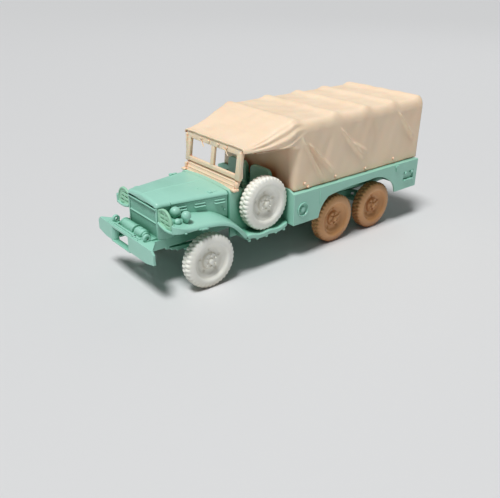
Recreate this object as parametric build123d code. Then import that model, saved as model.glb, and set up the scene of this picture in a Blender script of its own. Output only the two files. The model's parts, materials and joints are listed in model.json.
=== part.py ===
from build123d import *
import math
import os

# Six-wheeled cargo truck as an unpainted plastic scale model, with its canvas cover fitted.
# Lengths are in mm. x runs to the truck's own left, z is height over the ground, and y runs
# back from the front axle until the last step, which puts y = 0 midway between the two ends.
# What turns or is bored is truly round; thin rods and small rounds are prisms of few sides.

# Length, from the bumper's face back to the cover's rear hem
FRONT_OVERHANG = 13.1
WHEELBASE = 37.27
BOGIE_SPREAD = 14.44
REAR_OVERHANG = 15.2
FREE_GAP = 0.3

# Wheels: tyre and disc are one moulding, pushed over a stub pin
TYRE_R = 6.07
TYRE_WIDTH = 3.1
TRACK_OUTER = 13.2
LUG_COUNT = 36
LUG_DEPTH = 0.38
SHOULDER_WIDTH = 0.6
SHOULDER_SHRINK = 0.93
RIM_R = 3.55
RIM_FLOOR_R = 3.15
RIM_SIDES = 24
DISH_DEPTH = 1.0
HUB_R = 1.5
HUB_PROUD = 0.65
HAND_HOLES = 5
HAND_HOLE_SIDE = 0.75
HAND_HOLE_DEPTH = 0.4
HAND_HOLE_CIRCLE = 2.3
PIN_R = 0.8
PIN_CLEARANCE = 0.05
PIN_LENGTH = 2.35
PIN_END_GAP = 0.15
DRUM_GAP = 0.3
DRUM_WIDTH = 1.0
DRUM_R = 2.5
AXLE_R = 0.85
BOWL_R = 1.75
BOWL_X = -2.4
NOSE_R = 0.7
NOSE_REACH = 2.65

# Ladder frame of two channels that face inwards
RAIL_BOTTOM = 8.7
RAIL_HEIGHT = 2.1
RAIL_OUTER = 5.9
RAIL_FLANGE = 1.3
RAIL_WALL = 0.45
FRAME_REAR_GAP = 1.6
CROSS_DEPTH = 1.2
HORN_CROSS_Y = -9.4
NOSE_CROSS_Y = -7.0
GEARBOX_CROSS_Y = 12.6
CASE_CROSS_Y = 18.5
BAY_CROSS_Y = 33.0
TAIL_CROSS_REACH = 12.0

# Springs: one pack each side over the front axle, and one each side across the rear bogie
LEAF = 0.32
LEAF_STEP = 0.2
SPRING_WIDTH = 1.0
SPRING_INNER = 4.8
FRONT_REACH = 6.6
FRONT_CAMBER = 0.55
FRONT_CROWN = 7.95
FRONT_LEAVES = 3
HANGER_DEPTH = 0.8
TRUNNION_R = 0.7
TRUNNION_Z = 7.75
TRUNNION_BRACKET = 2.0
BOGIE_OVERREACH = 0.5
BOGIE_CROWN = 9.75
BOGIE_CAMBER = -1.35
BOGIE_LEAVES = 3
SADDLE_DEPTH = 1.8
PAD_DEPTH = 0.9
LINK_R = 0.32
LINK_X = 3.7

# Engine, gearbox, transfer case, shafts and exhaust
ENGINE_HALF = 2.0
ENGINE_LOW = 9.4
ENGINE_TOP = 15.4
ENGINE_REAR = 5.5
SUMP_HALF = 1.6
SUMP_LOW = 8.1
GEARBOX_HALF = 1.4
GEARBOX_LOW = 8.2
GEARBOX_TOP = 10.3
CASE_HALF_DEPTH = 1.9
CASE_LEFT = 1.1
CASE_RIGHT = -3.4
CASE_LOW = 6.7
CASE_CHAMFER = 0.5
SHAFT_R = 0.38
JOINT_R = 0.6
JOINT_LENGTH = 1.0
SHAFT_Z = 7.75
EXHAUST_X = -7.6
EXHAUST_Z = 8.9
EXHAUST_R = 0.35
MUFFLER_R = 0.95
MUFFLER_LENGTH = 6.5
PIPE_LOW = 8.0

# Bumper: an open channel with a mouth for the winch cable right of the middle
BUMPER_HALF = 11.7
BUMPER_TOP = 11.8
BUMPER_BOTTOM = 8.1
BUMPER_WALL = 0.5
BUMPER_TAPER = 3.1
TIP_CHAMFER = 0.85
TIP_RISE = 0.7
FLANGE_DEPTH = 1.4
WING_DEPTH = 2.6
WING_HALF = 8.2
MOUTH_RIGHT = -5.6
MOUTH_LEFT = 1.5
CHEEK_LEFT = -5.0
CHEEK_BEND = (0.45, 0.5)
STRIP_DROP = 0.3

# Winch on the frame's horns, and the tow rings on the bumper's flange
WINCH_DRUM_R = 1.25
WINCH_SIDES = 16
MOTOR_SIDES = 12
WINCH_Y = -9.8
WINCH_Z = 11.25
WINCH_RIGHT = -5.7
WINCH_SPLIT = -0.7
WINCH_GROOVE = 0.45
GEAR_CASE_R = 1.15
GEAR_CASE_LEFT = 3.4
MOTOR_R = 0.75
MOTOR_LENGTH = 0.8
TRAY_HALF = 5.2
TRAY_Y = (-11.4, -8.6)
TRAY_THICK = 0.35
TOW_RING_R = 0.85
TOW_HOLE_R = 0.38
TOW_RING_WIDTH = 0.7
TOW_RING_X = 6.5
TOW_RING_Y = -11.4
TOW_RING_SINK = 0.2

# Nose shell and hood
SKIN = 0.5
SEAM = 0.12
NOSE_Y = -8.45
NOSE_REAR = -5.4
HOOD_REAR = 7.6
HOOD_HALF_FRONT = 5.75
HOOD_HALF_REAR = 8.6
HOOD_SHOULDER_Z = 17.85
HOOD_EDGE_Z = 18.9
HOOD_CROWN_FRONT = 19.45
HOOD_CROWN_REAR = 19.2
HOOD_OVERHANG = 0.2
HOOD_CORNER = 1.1
HOOD_ROUND = 0.23
HOOD_SIDE_LOW = 12.0
LOUVRE_TOP = 17.3
LOUVRE_PITCH = 0.55
LOUVRE_HEIGHT = 0.28
LOUVRE_PROUD = 0.25
GRILLE_TOP = 17.2
GRILLE_BARS = 23
GRILLE_BAR = 0.22
GRILLE_RELIEF = 0.35
GRILLE_PLATE = 0.4
GRILLE_RIM = 0.35

# Fenders, lamp guards and running boards
RIDGE_X = 12.45
FENDER_OUTER = 13.05
FENDER_THICK = 0.5
FENDER_LIP = 0.8
FENDER_FRONT = -8.45
FENDER_CREST = 14.5
FENDER_CORNER = 2.2
APRON_LOW = 13.55
APRON_END = 13.85
APRON_KNEE = (-2.5, 13.5)
BOARD_FRONT = 9.6
BOARD_TOP = 8.7
BOARD_RISE = 0.85
BOARD_THICK = 1.45
BOARD_END = 1.25
GUARD_Y = -8.25
GUARD_INNER = 5.95
GUARD_OUTER = 10.9
GUARD_LOW = 13.95
GUARD_TOP = 18.45
GUARD_THICK = 0.5
GUARD_RIM = 0.4
GUARD_RECESS = 0.25
GUARD_RISE = 0.85
GUARD_ROUND_LOW = 1.4
GUARD_ROUND_TOP = 2.9
SLOT_COLUMNS = ((6.7, 8.05), (8.55, 9.9))
SLOT_ROWS = 3
SLOT_HEIGHT = 0.42
SLOT_PITCH = 0.95
SLOT_LOW = 15.0
SLOT_SHORTER = 0.5
# Lamps: x, y and z of the lens, radius, depth of the bowl
HEADLAMP = (7.65, -5.95, 16.85, 1.25, 2.0)
MARKER = (10.3, -7.0, 15.95, 0.7, 1.05)
BLACKOUT = (10.9, -5.2, 16.9, 1.0, 1.5)
LAMP_SIDES = 12
STALK_LENGTH = 2.0

# Cab
CAB_HALF = 9.2
CAB_FLOOR = 11.3
CAB_WALL = 0.5
COWL_REAR = 11.0
COWL_TOP = 18.85
COWL_CROWN = 0.3
COWL_CORNER = 1.2
DASH_DEPTH = 1.2
DASH_LOW = 16.4
SILL_TOP = 12.6
SILL_BOTTOM = 8.2
DOOR_FRONT = 12.6
DOOR_REAR = 18.4
CAB_BACK_TOP = 16.4
SCREEN_Y = 9.75
SCREEN_THICK = 0.9
SCREEN_HALF = 10.4
SCREEN_TOP = 27.4
SCREEN_FOOT = 18.5
SCREEN_APRON = 1.05
PANE_BOTTOM = 21.5
PANE_TOP = 26.0
PANE_OUTER = 8.0
POST_HALF = 0.95
WIPER_R = 0.14
SEAT_X = 4.2
SEAT_HALF = 3.4
SEAT_FRONT = 14.7
SEAT_BASE_TOP = 14.0
SEAT_CUSHION = 1.0
SEAT_BACK = 1.0
SEAT_TOP = 20.5
SEAT_ROUND = 1.4
COLUMN_Y = 9.0
COLUMN_Z = 13.6
STEERING_Y = 14.0
STEERING_Z = 18.3
STEERING_R = 2.7
STEERING_RIM = 0.45
COLUMN_R = 0.3

# Cargo bed
BED_HALF = 14.62
BED_FRONT = 21.75
BED_REAR_GAP = 0.4
BED_RIM = 16.3
BED_SKIRT = 8.75
BED_WALL = 0.8
BED_FLOOR = 11.8
FLOOR_THICK = 0.6
FRONT_WALL = 0.65
FRONT_PANEL_TOP = 17.0
RIM_WIDTH = 1.75
RIM_THICK = 0.5
WELL_AHEAD = 1.36
WELL_BEHIND = 0.05
WELL_ARCH = 14.3
WELL_RAMP = 14.0
WELL_FALL = 10.6
WELL_INNER = 9.2
WELL_TOP = 15.0
WELL_WALL = 0.5
CORNER_PANEL = 5.6
SILL_FRONT = 3.0
SILL_END = 1.7
SILL_HALF = 0.4
GATE_THICK = 0.8
FILLER_Y = 24.56
FILLER_Z = 12.2
FILLER_R = 1.4
FILLER_DEPTH = 0.45
POCKET_FRONT = 61.0
POCKET_REAR = 65.0
POCKET_LOW = 11.3
POCKET_TOP = 13.5
POCKET_DEPTH = 0.4

# Canvas cover
COVER_STEP = 0.92
COVER_THICK = 0.8
BOW_ROOF = 32.6
SAG = 0.7
BOW_REAR_GAP = 0.9
BOW_SHARES = (0, 0.285, 0.533, 0.762, 1)
COVER_SHOULDER_R = 2.1
SHOULDER_CHORDS = 4
CANOPY_THICK = 0.55
CURTAIN_R = 0.8

# Tank, tail lamps, tow hook and spare wheel
TANK_WIDTH = 6.2
TANK_HEIGHT = 1.9
TANK_ROUND = 0.6
TAIL_LAMP_R = 0.7
TAIL_LAMP_SIDE = 2.42
TAIL_LAMP_Z = 10.0
HOOK_Z = 9.75
HOOK_R = 0.9
HOOK_HOLE_R = 0.45
HOOK_THICK = 0.8
SPARE_Y = 15.4
SPARE_INNER = 9.6

AXLE_Z = TYRE_R
REAR_AXLES = (WHEELBASE, WHEELBASE + BOGIE_SPREAD)
BOGIE_Y = WHEELBASE + BOGIE_SPREAD / 2
FRONT_END = -FRONT_OVERHANG
REAR_END = WHEELBASE + BOGIE_SPREAD + REAR_OVERHANG
RAIL_TOP = RAIL_BOTTOM + RAIL_HEIGHT
BED_REAR = REAR_END - BED_REAR_GAP
FRAME_REAR = BED_REAR - FRAME_REAR_GAP
HORN_FRONT = FRONT_END + BUMPER_WALL
RAIL_FRONT = FRONT_END + FLANGE_DEPTH
WHEEL_INNER = TRACK_OUTER - TYRE_WIDTH
CAB_REAR = BED_FRONT - FREE_GAP
BOARD_REAR = BED_FRONT - FREE_GAP
FLOOR_LOW = CAB_FLOOR - CAB_WALL
BED_INSIDE = BED_HALF - BED_WALL
BED_UNDER = BED_FLOOR - FLOOR_THICK
COVER_HALF = BED_HALF - COVER_STEP
COVER_FRONT = BED_FRONT + FRONT_WALL
SPARE_Z = BOARD_TOP + TYRE_R + FREE_GAP
FENDER_INNER = HOOD_HALF_FRONT - SKIN

nodes = {}


def block(x, y, z):
    """Box given by its span along each axis."""
    spans = (x, y, z)
    centre = [(low + high) / 2 for low, high in spans]
    return Pos(*centre) * Box(*(high - low for low, high in spans))


def outline(*points):
    return Polygon(*points, align=None)


def drawn(start, *steps):
    """Closed face from its first corner; a step is the next corner, or (via, end) for an arc."""
    edges = []
    here = start
    for step in steps:
        if isinstance(step[0], tuple):
            edges.append(ThreePointArc(here, *step))
            here = step[1]
        else:
            edges.append(Line(here, step))
            here = step
    edges.append(Line(here, start))
    return make_face(edges)


def round_corners(centre, radius, start, end, chords):
    """Corners of a round drawn as equal chords, from one angle in degrees to the other."""
    corners = []
    for count in range(chords + 1):
        angle = math.radians(start + (end - start) * count / chords)
        corners.append((centre[0] + radius * math.cos(angle), centre[1] + radius * math.sin(angle)))
    return corners


def across(face, low, high):
    """Face drawn as (y, z), carried along x."""
    return extrude(Plane.YZ.offset(low) * face, high - low, dir=(1, 0, 0))


def along(face, low, high):
    """Face drawn as (x, z), carried along y."""
    return extrude(Plane.XZ.offset(-low) * face, high - low, dir=(0, 1, 0))


def upward(face, low, high):
    """Face drawn as (x, y), carried along z."""
    return extrude(Plane.XY.offset(low) * face, high - low, dir=(0, 0, 1))


def round_bar(start, end, radius):
    start, end = Vector(*start), Vector(*end)
    return Solid.make_cylinder(radius, (end - start).length, Plane(start, z_dir=end - start))


def bar(start, end, radius, sides=8):
    start, end = Vector(*start), Vector(*end)
    return extrude(Plane(start, z_dir=end - start) * RegularPolygon(radius, sides), (end - start).length)


def flat_sided(*rings):
    """Solid with flat sides between rings of corners that match one to one."""
    faces = [Face(Wire.make_polygon(ring)) for ring in (rings[0], rings[-1])]
    for near, far in zip(rings, rings[1:]):
        for here in range(len(near)):
            faces.append(Face(Wire.make_polygon([near[here - 1], near[here], far[here], far[here - 1]])))
    return Solid(Shell(faces))


def spindle(start, way, stations, sides=12):
    """Straight tapers between regular sections; a station is (distance along the way, radius)."""
    start, way = Vector(*start), Vector(*way).normalized()
    rings = []
    for far, radius in stations:
        plane = Plane(start + way * far, z_dir=way)
        corners = round_corners((0, 0), radius, 0, 360, sides)[1:]
        rings.append([plane.from_local_coords((*corner, 0)) for corner in corners])
    return flat_sided(*rings)


def both(piece):
    return piece + mirror(piece, Plane.YZ)


def less(piece, *names):
    """The piece without the room that the named nodes take."""
    for name in names:
        piece -= nodes[name]
    return piece


def tread(x, shrink):
    """Corners of the lugs' zigzag at x, shrunk towards the hub, with one tip straight down."""
    tips = round_corners((0, 0), TYRE_R * shrink, -90, 270, LUG_COUNT)
    roots = round_corners((0, 0), (TYRE_R - LUG_DEPTH) * shrink, -90, 270, 2 * LUG_COUNT)[1::2]
    return [(x, *corner) for pair in zip(tips, roots) for corner in pair]


def wheel(bored):
    """Wheel about the x axis, its inner face at x = 0 and its dish towards +x."""
    shoulder_x = TYRE_WIDTH - SHOULDER_WIDTH
    floor_x = TYRE_WIDTH - DISH_DEPTH
    body = flat_sided(tread(0, 1), tread(shoulder_x, 1), tread(TYRE_WIDTH, SHOULDER_SHRINK))
    body -= spindle((floor_x, 0, 0), (1, 0, 0), ((0, RIM_FLOOR_R), (DISH_DEPTH, RIM_R)), RIM_SIDES)
    body += bar((floor_x - 0.1, 0, 0), (floor_x + HUB_PROUD, 0, 0), HUB_R, 12)
    for hole in range(HAND_HOLES):
        pocket = block(
            (floor_x - HAND_HOLE_DEPTH, floor_x + HAND_HOLE_DEPTH),
            (-HAND_HOLE_SIDE / 2, HAND_HOLE_SIDE / 2),
            (HAND_HOLE_CIRCLE - HAND_HOLE_SIDE / 2, HAND_HOLE_CIRCLE + HAND_HOLE_SIDE / 2),
        )
        body -= Rot(360 / HAND_HOLES * hole, 0, 0) * pocket
    if bored:
        bore = PIN_LENGTH - DRUM_GAP + PIN_END_GAP
        body -= round_bar((-1, 0, 0), (bore, 0, 0), PIN_R + PIN_CLEARANCE)
    return body


def axle(y, way):
    """Axle with its bowl, drums and stub pins; way is +1 when the bowl's nose points back."""
    drum_inner = WHEEL_INNER - DRUM_GAP - DRUM_WIDTH
    line = bar((-drum_inner, y, AXLE_Z), (drum_inner, y, AXLE_Z), AXLE_R)
    stations = (
        (0, BOWL_R * 0.55),
        (BOWL_R * 0.6, BOWL_R),
        (BOWL_R * 1.4, BOWL_R),
        (BOWL_R * 1.8, NOSE_R),
        (BOWL_R + NOSE_REACH, NOSE_R),
    )
    line += spindle((BOWL_X, y - way * BOWL_R, AXLE_Z), (0, way, 0), stations)
    for side in (-1, 1):
        inner, outer = side * drum_inner, side * (drum_inner + DRUM_WIDTH)
        line += bar((inner, y, AXLE_Z), (outer, y, AXLE_Z), DRUM_R, 12)
        line += round_bar((outer, y, AXLE_Z), (outer + side * PIN_LENGTH, y, AXLE_Z), PIN_R)
    return line


# Frame: rails, and cross members that reach into their channels
web_x, flange_x = RAIL_OUTER - RAIL_WALL, RAIL_OUTER - RAIL_FLANGE
channel_low, channel_top = RAIL_BOTTOM + RAIL_WALL, RAIL_TOP - RAIL_WALL
channel = outline(
    (RAIL_OUTER, RAIL_BOTTOM),
    (RAIL_OUTER, RAIL_TOP),
    (flange_x, RAIL_TOP),
    (flange_x, channel_top),
    (web_x, channel_top),
    (web_x, channel_low),
    (flange_x, channel_low),
    (flange_x, RAIL_BOTTOM),
)
frame = both(along(channel, RAIL_FRONT, FRAME_REAR))
tail_cross_y = BOGIE_Y + TAIL_CROSS_REACH
end_cross_y = FRAME_REAR - CROSS_DEPTH / 2
cross_places = (
    HORN_CROSS_Y,
    NOSE_CROSS_Y,
    GEARBOX_CROSS_Y,
    CASE_CROSS_Y,
    BAY_CROSS_Y,
    BOGIE_Y,
    tail_cross_y,
    end_cross_y,
)
for y in cross_places:
    span = (y - CROSS_DEPTH / 2, y + CROSS_DEPTH / 2)
    frame += block((-web_x, web_x), span, (channel_low, channel_top))
nodes["frame"] = frame

# Bumper: web with its mouth, top flange with wings, lower ledge, the mouth's bent cheek, and a
# bracket to each rail
web = outline(
    (-BUMPER_HALF, BUMPER_BOTTOM + TIP_RISE),
    (-BUMPER_HALF + BUMPER_TAPER, BUMPER_BOTTOM),
    (MOUTH_RIGHT - BUMPER_WALL, BUMPER_BOTTOM),
    (MOUTH_RIGHT - BUMPER_WALL, BUMPER_BOTTOM - STRIP_DROP),
    (MOUTH_LEFT + BUMPER_WALL, BUMPER_BOTTOM - STRIP_DROP),
    (MOUTH_LEFT + BUMPER_WALL, BUMPER_BOTTOM),
    (BUMPER_HALF - BUMPER_TAPER, BUMPER_BOTTOM),
    (BUMPER_HALF, BUMPER_BOTTOM + TIP_RISE),
    (BUMPER_HALF, BUMPER_TOP - TIP_CHAMFER),
    (BUMPER_HALF - TIP_CHAMFER, BUMPER_TOP),
    (TIP_CHAMFER - BUMPER_HALF, BUMPER_TOP),
    (-BUMPER_HALF, BUMPER_TOP - TIP_CHAMFER),
)
mouth = outline(
    (MOUTH_RIGHT, BUMPER_BOTTOM),
    (MOUTH_LEFT, BUMPER_BOTTOM),
    (MOUTH_LEFT, BUMPER_TOP - BUMPER_WALL),
    (MOUTH_RIGHT, BUMPER_TOP - BUMPER_WALL),
)
bumper = along(web - mouth, FRONT_END, HORN_FRONT)
wing_rear = FRONT_END + WING_DEPTH
half_flange = outline(
    (0, HORN_FRONT),
    (BUMPER_HALF - TIP_CHAMFER, HORN_FRONT),
    (WING_HALF, wing_rear),
    (TOW_RING_X - TOW_RING_WIDTH, wing_rear),
    (TRAY_HALF, RAIL_FRONT),
    (0, RAIL_FRONT),
)
bumper += upward(both(half_flange), BUMPER_TOP - BUMPER_WALL, BUMPER_TOP)
strip_x = (MOUTH_RIGHT - BUMPER_WALL, MOUTH_LEFT + BUMPER_WALL)
bumper += block(strip_x, (HORN_FRONT, RAIL_FRONT), (BUMPER_BOTTOM - STRIP_DROP, BUMPER_BOTTOM))
cheek = drawn(
    (MOUTH_RIGHT, FRONT_END),
    ((MOUTH_RIGHT + CHEEK_BEND[0], FRONT_END + CHEEK_BEND[1]), (CHEEK_LEFT, RAIL_FRONT)),
    (CHEEK_LEFT - BUMPER_WALL, RAIL_FRONT),
    (MOUTH_RIGHT, HORN_FRONT),
)
bumper += upward(cheek, BUMPER_BOTTOM, BUMPER_TOP - BUMPER_WALL)
bumper += both(block((web_x, RAIL_OUTER), (HORN_FRONT, RAIL_FRONT), (RAIL_BOTTOM, RAIL_TOP)))
nodes["bumper"] = bumper

# Winch in a tray on the rails: smooth drum to the right, gear case and motor end to the left
winch = block((-TRAY_HALF, TRAY_HALF), TRAY_Y, (RAIL_TOP, RAIL_TOP + TRAY_THICK))
# Stretches along x: from, to, radius, sides
winch_rounds = (
    (WINCH_RIGHT, WINCH_SPLIT, WINCH_DRUM_R, WINCH_SIDES),
    (WINCH_SPLIT, WINCH_SPLIT + WINCH_GROOVE, WINCH_DRUM_R - WINCH_GROOVE, MOTOR_SIDES),
    (WINCH_SPLIT + WINCH_GROOVE, GEAR_CASE_LEFT, GEAR_CASE_R, WINCH_SIDES),
    (GEAR_CASE_LEFT, GEAR_CASE_LEFT + MOTOR_LENGTH, MOTOR_R, MOTOR_SIDES),
)
for start, end, radius, sides in winch_rounds:
    winch += bar((start, WINCH_Y, WINCH_Z), (end, WINCH_Y, WINCH_Z), radius, sides)
nodes["winch"] = less(winch, "frame", "bumper")

# Tow rings stand on the bumper's wings
ring_z = BUMPER_TOP + TOW_RING_R - TOW_RING_SINK
ring_x = (TOW_RING_X - TOW_RING_WIDTH / 2, TOW_RING_X + TOW_RING_WIDTH / 2)
ring = bar((ring_x[0], TOW_RING_Y, ring_z), (ring_x[1], TOW_RING_Y, ring_z), TOW_RING_R, 12)
ring -= round_bar((0, TOW_RING_Y, ring_z), (BUMPER_HALF, TOW_RING_Y, ring_z), TOW_HOLE_R)
ring = less(ring, "bumper")
nodes["tow_rings"] = both(ring)

# Axles
nodes["front_axle"] = axle(0, 1)
nodes["rear_axle_first"] = axle(REAR_AXLES[0], -1)
nodes["rear_axle_second"] = axle(REAR_AXLES[1], -1)


def leaf_top(off, reach, crown, camber):
    return crown + camber * (off / reach) ** 2


def leaf_pack(y, reach, crown, camber, leaves):
    """Side outline of a leaf spring, longest leaf on top; camber lifts its ends over the crown."""
    corners = []
    for leaf in range(leaves):
        half = reach * (1 - LEAF_STEP * leaf)
        top = leaf_top(half, reach, crown, camber)
        corners += [(half, top - leaf * LEAF), (half, top - (leaf + 1) * LEAF)]
    back = [(y + off, z) for off, z in corners]
    front = [(y - off, z) for off, z in reversed(corners)]
    return drawn(front[-1], ((y, crown), back[0]), *back[1:], *front[:-1])


# Front springs hang from the rails and rest on the axle
front_x = (SPRING_INNER, SPRING_INNER + SPRING_WIDTH)
spring = across(leaf_pack(0, FRONT_REACH, FRONT_CROWN, FRONT_CAMBER, FRONT_LEAVES), *front_x)
for span in ((-FRONT_REACH, HANGER_DEPTH - FRONT_REACH), (FRONT_REACH - HANGER_DEPTH, FRONT_REACH)):
    spring += block(front_x, span, (FRONT_CROWN + FRONT_CAMBER - LEAF, RAIL_BOTTOM))
spring += block(front_x, (-PAD_DEPTH, PAD_DEPTH), (AXLE_Z, FRONT_CROWN - LEAF))
nodes["front_springs"] = both(less(spring, "front_axle"))

# Rear bogie: a tube under the frame carries one spring each side that rests on both axles
bogie_inner = RAIL_OUTER + FREE_GAP
bogie_x = (bogie_inner, bogie_inner + SPRING_WIDTH)
tube_end = bogie_x[1] + FREE_GAP
trunnion = bar((-tube_end, BOGIE_Y, TRUNNION_Z), (tube_end, BOGIE_Y, TRUNNION_Z), TRUNNION_R, 12)
bracket_y = (BOGIE_Y - TRUNNION_BRACKET / 2, BOGIE_Y + TRUNNION_BRACKET / 2)
trunnion += both(block((flange_x, RAIL_OUTER), bracket_y, (TRUNNION_Z, RAIL_BOTTOM)))
nodes["trunnion"] = trunnion
bogie_reach = BOGIE_SPREAD / 2 + BOGIE_OVERREACH
spring = across(leaf_pack(BOGIE_Y, bogie_reach, BOGIE_CROWN, BOGIE_CAMBER, BOGIE_LEAVES), *bogie_x)
saddle_y = (BOGIE_Y - SADDLE_DEPTH / 2, BOGIE_Y + SADDLE_DEPTH / 2)
spring += block(bogie_x, saddle_y, (TRUNNION_Z, BOGIE_CROWN - LEAF))
pad_top = leaf_top(BOGIE_SPREAD / 2, bogie_reach, BOGIE_CROWN, BOGIE_CAMBER) - LEAF / 2
for y in REAR_AXLES:
    spring += block(bogie_x, (y - PAD_DEPTH / 2, y + PAD_DEPTH / 2), (AXLE_Z, pad_top))
spring = less(spring, "trunnion", "rear_axle_first", "rear_axle_second")
nodes["rear_springs"] = both(spring)
links = None
for y in REAR_AXLES:
    link = both(bar((LINK_X, BOGIE_Y, TRUNNION_Z), (LINK_X, y, AXLE_Z), LINK_R))
    links = link if links is None else links + link
nodes["torque_rods"] = less(links, "trunnion", "rear_axle_first", "rear_axle_second")

# Engine and gearbox between two cross members, and the transfer case under a third
engine_front = NOSE_CROSS_Y + CROSS_DEPTH / 2
gearbox_rear = GEARBOX_CROSS_Y - CROSS_DEPTH / 2
engine = block((-ENGINE_HALF, ENGINE_HALF), (engine_front, ENGINE_REAR), (ENGINE_LOW, ENGINE_TOP))
sump = outline(
    (engine_front + CROSS_DEPTH, ENGINE_LOW),
    (engine_front + 2 * CROSS_DEPTH, SUMP_LOW),
    (ENGINE_REAR - CROSS_DEPTH, SUMP_LOW),
    (ENGINE_REAR, ENGINE_LOW),
)
engine += across(sump, -SUMP_HALF, SUMP_HALF)
gearbox = outline(
    (ENGINE_REAR, GEARBOX_LOW),
    (gearbox_rear, GEARBOX_LOW),
    (gearbox_rear, GEARBOX_TOP),
    (ENGINE_REAR + CROSS_DEPTH, GEARBOX_TOP),
    (ENGINE_REAR, (ENGINE_LOW + ENGINE_TOP) / 2),
)
engine += across(gearbox, -GEARBOX_HALF, GEARBOX_HALF)
nodes["engine"] = engine
case_y = (CASE_CROSS_Y - CASE_HALF_DEPTH, CASE_CROSS_Y + CASE_HALF_DEPTH)
case = outline(
    (case_y[0], CASE_LOW + CASE_CHAMFER),
    (case_y[0] + CASE_CHAMFER, CASE_LOW),
    (case_y[1] - CASE_CHAMFER, CASE_LOW),
    (case_y[1], CASE_LOW + CASE_CHAMFER),
    (case_y[1], channel_low),
    (case_y[0], channel_low),
)
nodes["transfer_case"] = across(case, CASE_RIGHT, CASE_LEFT)

# Shafts: from, to; each has a joint at both ends
first_nose, second_nose = [y - NOSE_REACH for y in REAR_AXLES]
shaft_lines = (
    ((0, gearbox_rear, GEARBOX_LOW + SHAFT_R), (0, case_y[0], SHAFT_Z)),
    ((BOWL_X, case_y[0], SHAFT_Z), (BOWL_X, NOSE_REACH, AXLE_Z)),
    ((BOWL_X, case_y[1], SHAFT_Z), (BOWL_X, first_nose, AXLE_Z)),
    ((BOWL_X, REAR_AXLES[0] + BOWL_R, AXLE_Z), (BOWL_X, second_nose, AXLE_Z)),
)
shafts = None
for start, end in shaft_lines:
    start, end = Vector(*start), Vector(*end)
    joint = (end - start).normalized() * JOINT_LENGTH
    shaft = bar(start, end, SHAFT_R, 6)
    for joint_start in (start, end - joint):
        shaft += bar(joint_start, joint_start + joint, JOINT_R, 6)
    shafts = shaft if shafts is None else shafts + shaft
nodes["prop_shafts"] = less(
    shafts, "front_axle", "rear_axle_first", "rear_axle_second", "transfer_case", "engine", "frame"
)


def share(low, high, y):
    """Value at y on the straight line from low at the nose to high at the hood's rear edge."""
    return low + (high - low) * (y - NOSE_Y) / (HOOD_REAR - NOSE_Y)


def hood_face(y, base):
    """Cross-section of nose and hood at y, down to the base."""
    half = share(HOOD_HALF_FRONT, HOOD_HALF_REAR, y)
    crown = share(HOOD_CROWN_FRONT, HOOD_CROWN_REAR, y)
    lip, edge = half + HOOD_OVERHANG, half - HOOD_CORNER
    shoulder, top = HOOD_SHOULDER_Z, HOOD_EDGE_Z
    bulge_x = (lip + edge) / 2 + HOOD_ROUND
    bulge_z = (shoulder + top) / 2 + HOOD_ROUND
    face = drawn(
        (-half, base),
        (half, base),
        (half, shoulder),
        (lip, shoulder),
        ((bulge_x, bulge_z), (edge, top)),
        ((0, crown), (-edge, top)),
        ((-bulge_x, bulge_z), (-lip, shoulder)),
        (-half, shoulder),
    )
    return Plane.XZ.offset(-y) * face


def hood_form(front, rear, base):
    return loft([hood_face(front, base), hood_face(rear, base)], ruled=True)


def hood_void(front, rear, base):
    """Room under the skin of nose and hood, with flat sides and top."""
    rings = []
    for y in (front, rear):
        half = share(HOOD_HALF_FRONT, HOOD_HALF_REAR, y) - SKIN
        edge, top = half - HOOD_CORNER + HOOD_ROUND, HOOD_EDGE_Z - SKIN
        right = ((-edge, top), (-half, HOOD_SHOULDER_Z), (-half, base))
        corners = ((half, base), (half, HOOD_SHOULDER_Z), (edge, top), *right)
        rings.append([(x, y, z) for x, z in corners])
    return flat_sided(*rings)


# Fender's top line at three places across: x, then front, knee, crest, turn and foot, each as
# (y, height over FENDER_CREST)
fender_lines = (
    (FENDER_INNER, (FENDER_FRONT, 2.7), (-2.5, 2.45), (0.5, 2.0), (6.8, -0.7), (11.3, -4.4)),
    (RIDGE_X, (FENDER_FRONT, 1.1), (-2.5, 0.1), (1.6, 0.0), (6.8, -1.75), (9.9, -5.5)),
    (FENDER_OUTER, (FENDER_FRONT, 0.7), (-2.5, -0.2), (1.6, -0.35), (6.5, -2.05), (9.6, -5.7)),
)


def under_fender(drop):
    """All that lies under the left fender's top face, when that face is sunk by the drop."""
    faces = []
    for x, *line in fender_lines:
        front, knee, crest, turn, foot = [(y, FENDER_CREST + rise) for y, rise in line]
        slant = drop * math.sqrt(0.5)
        face = drawn(
            (front[0] - 1, AXLE_Z),
            (front[0] - 1, front[1] - drop),
            (knee[0], knee[1] - drop),
            (crest[0], crest[1] - drop),
            ((turn[0] - slant, turn[1] - slant), (foot[0] - drop, foot[1])),
            (foot[0] - drop, AXLE_Z),
        )
        faces.append(Plane.YZ.offset(x) * face)
    return loft(faces, ruled=True)


fender_fill = under_fender(0)
both_fills = both(fender_fill)

# Hood with its louvres: front and rear end of each pair
hood_y = (NOSE_REAR + SEAM, HOOD_REAR - SEAM)
hood = hood_form(*hood_y, HOOD_SIDE_LOW) - hood_void(NOSE_REAR - 1, HOOD_REAR + 1, HOOD_SIDE_LOW - 1)
louvre_spans = ((-4.3, -1.9), (-0.2, 2.3), (4.3, 6.7))
for front, rear in louvre_spans:
    front_x, rear_x = [share(HOOD_HALF_FRONT, HOOD_HALF_REAR, y) for y in (front, rear)]
    slat = outline(
        (front_x - SKIN / 2, front),
        (front_x + LOUVRE_PROUD, front),
        (rear_x + LOUVRE_PROUD, rear),
        (rear_x - SKIN / 2, rear),
    )
    for row in range(2):
        top = LOUVRE_TOP - row * LOUVRE_PITCH
        hood += both(upward(slat, top - LOUVRE_HEIGHT, top))
hood -= both_fills
nodes["hood"] = hood

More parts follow.
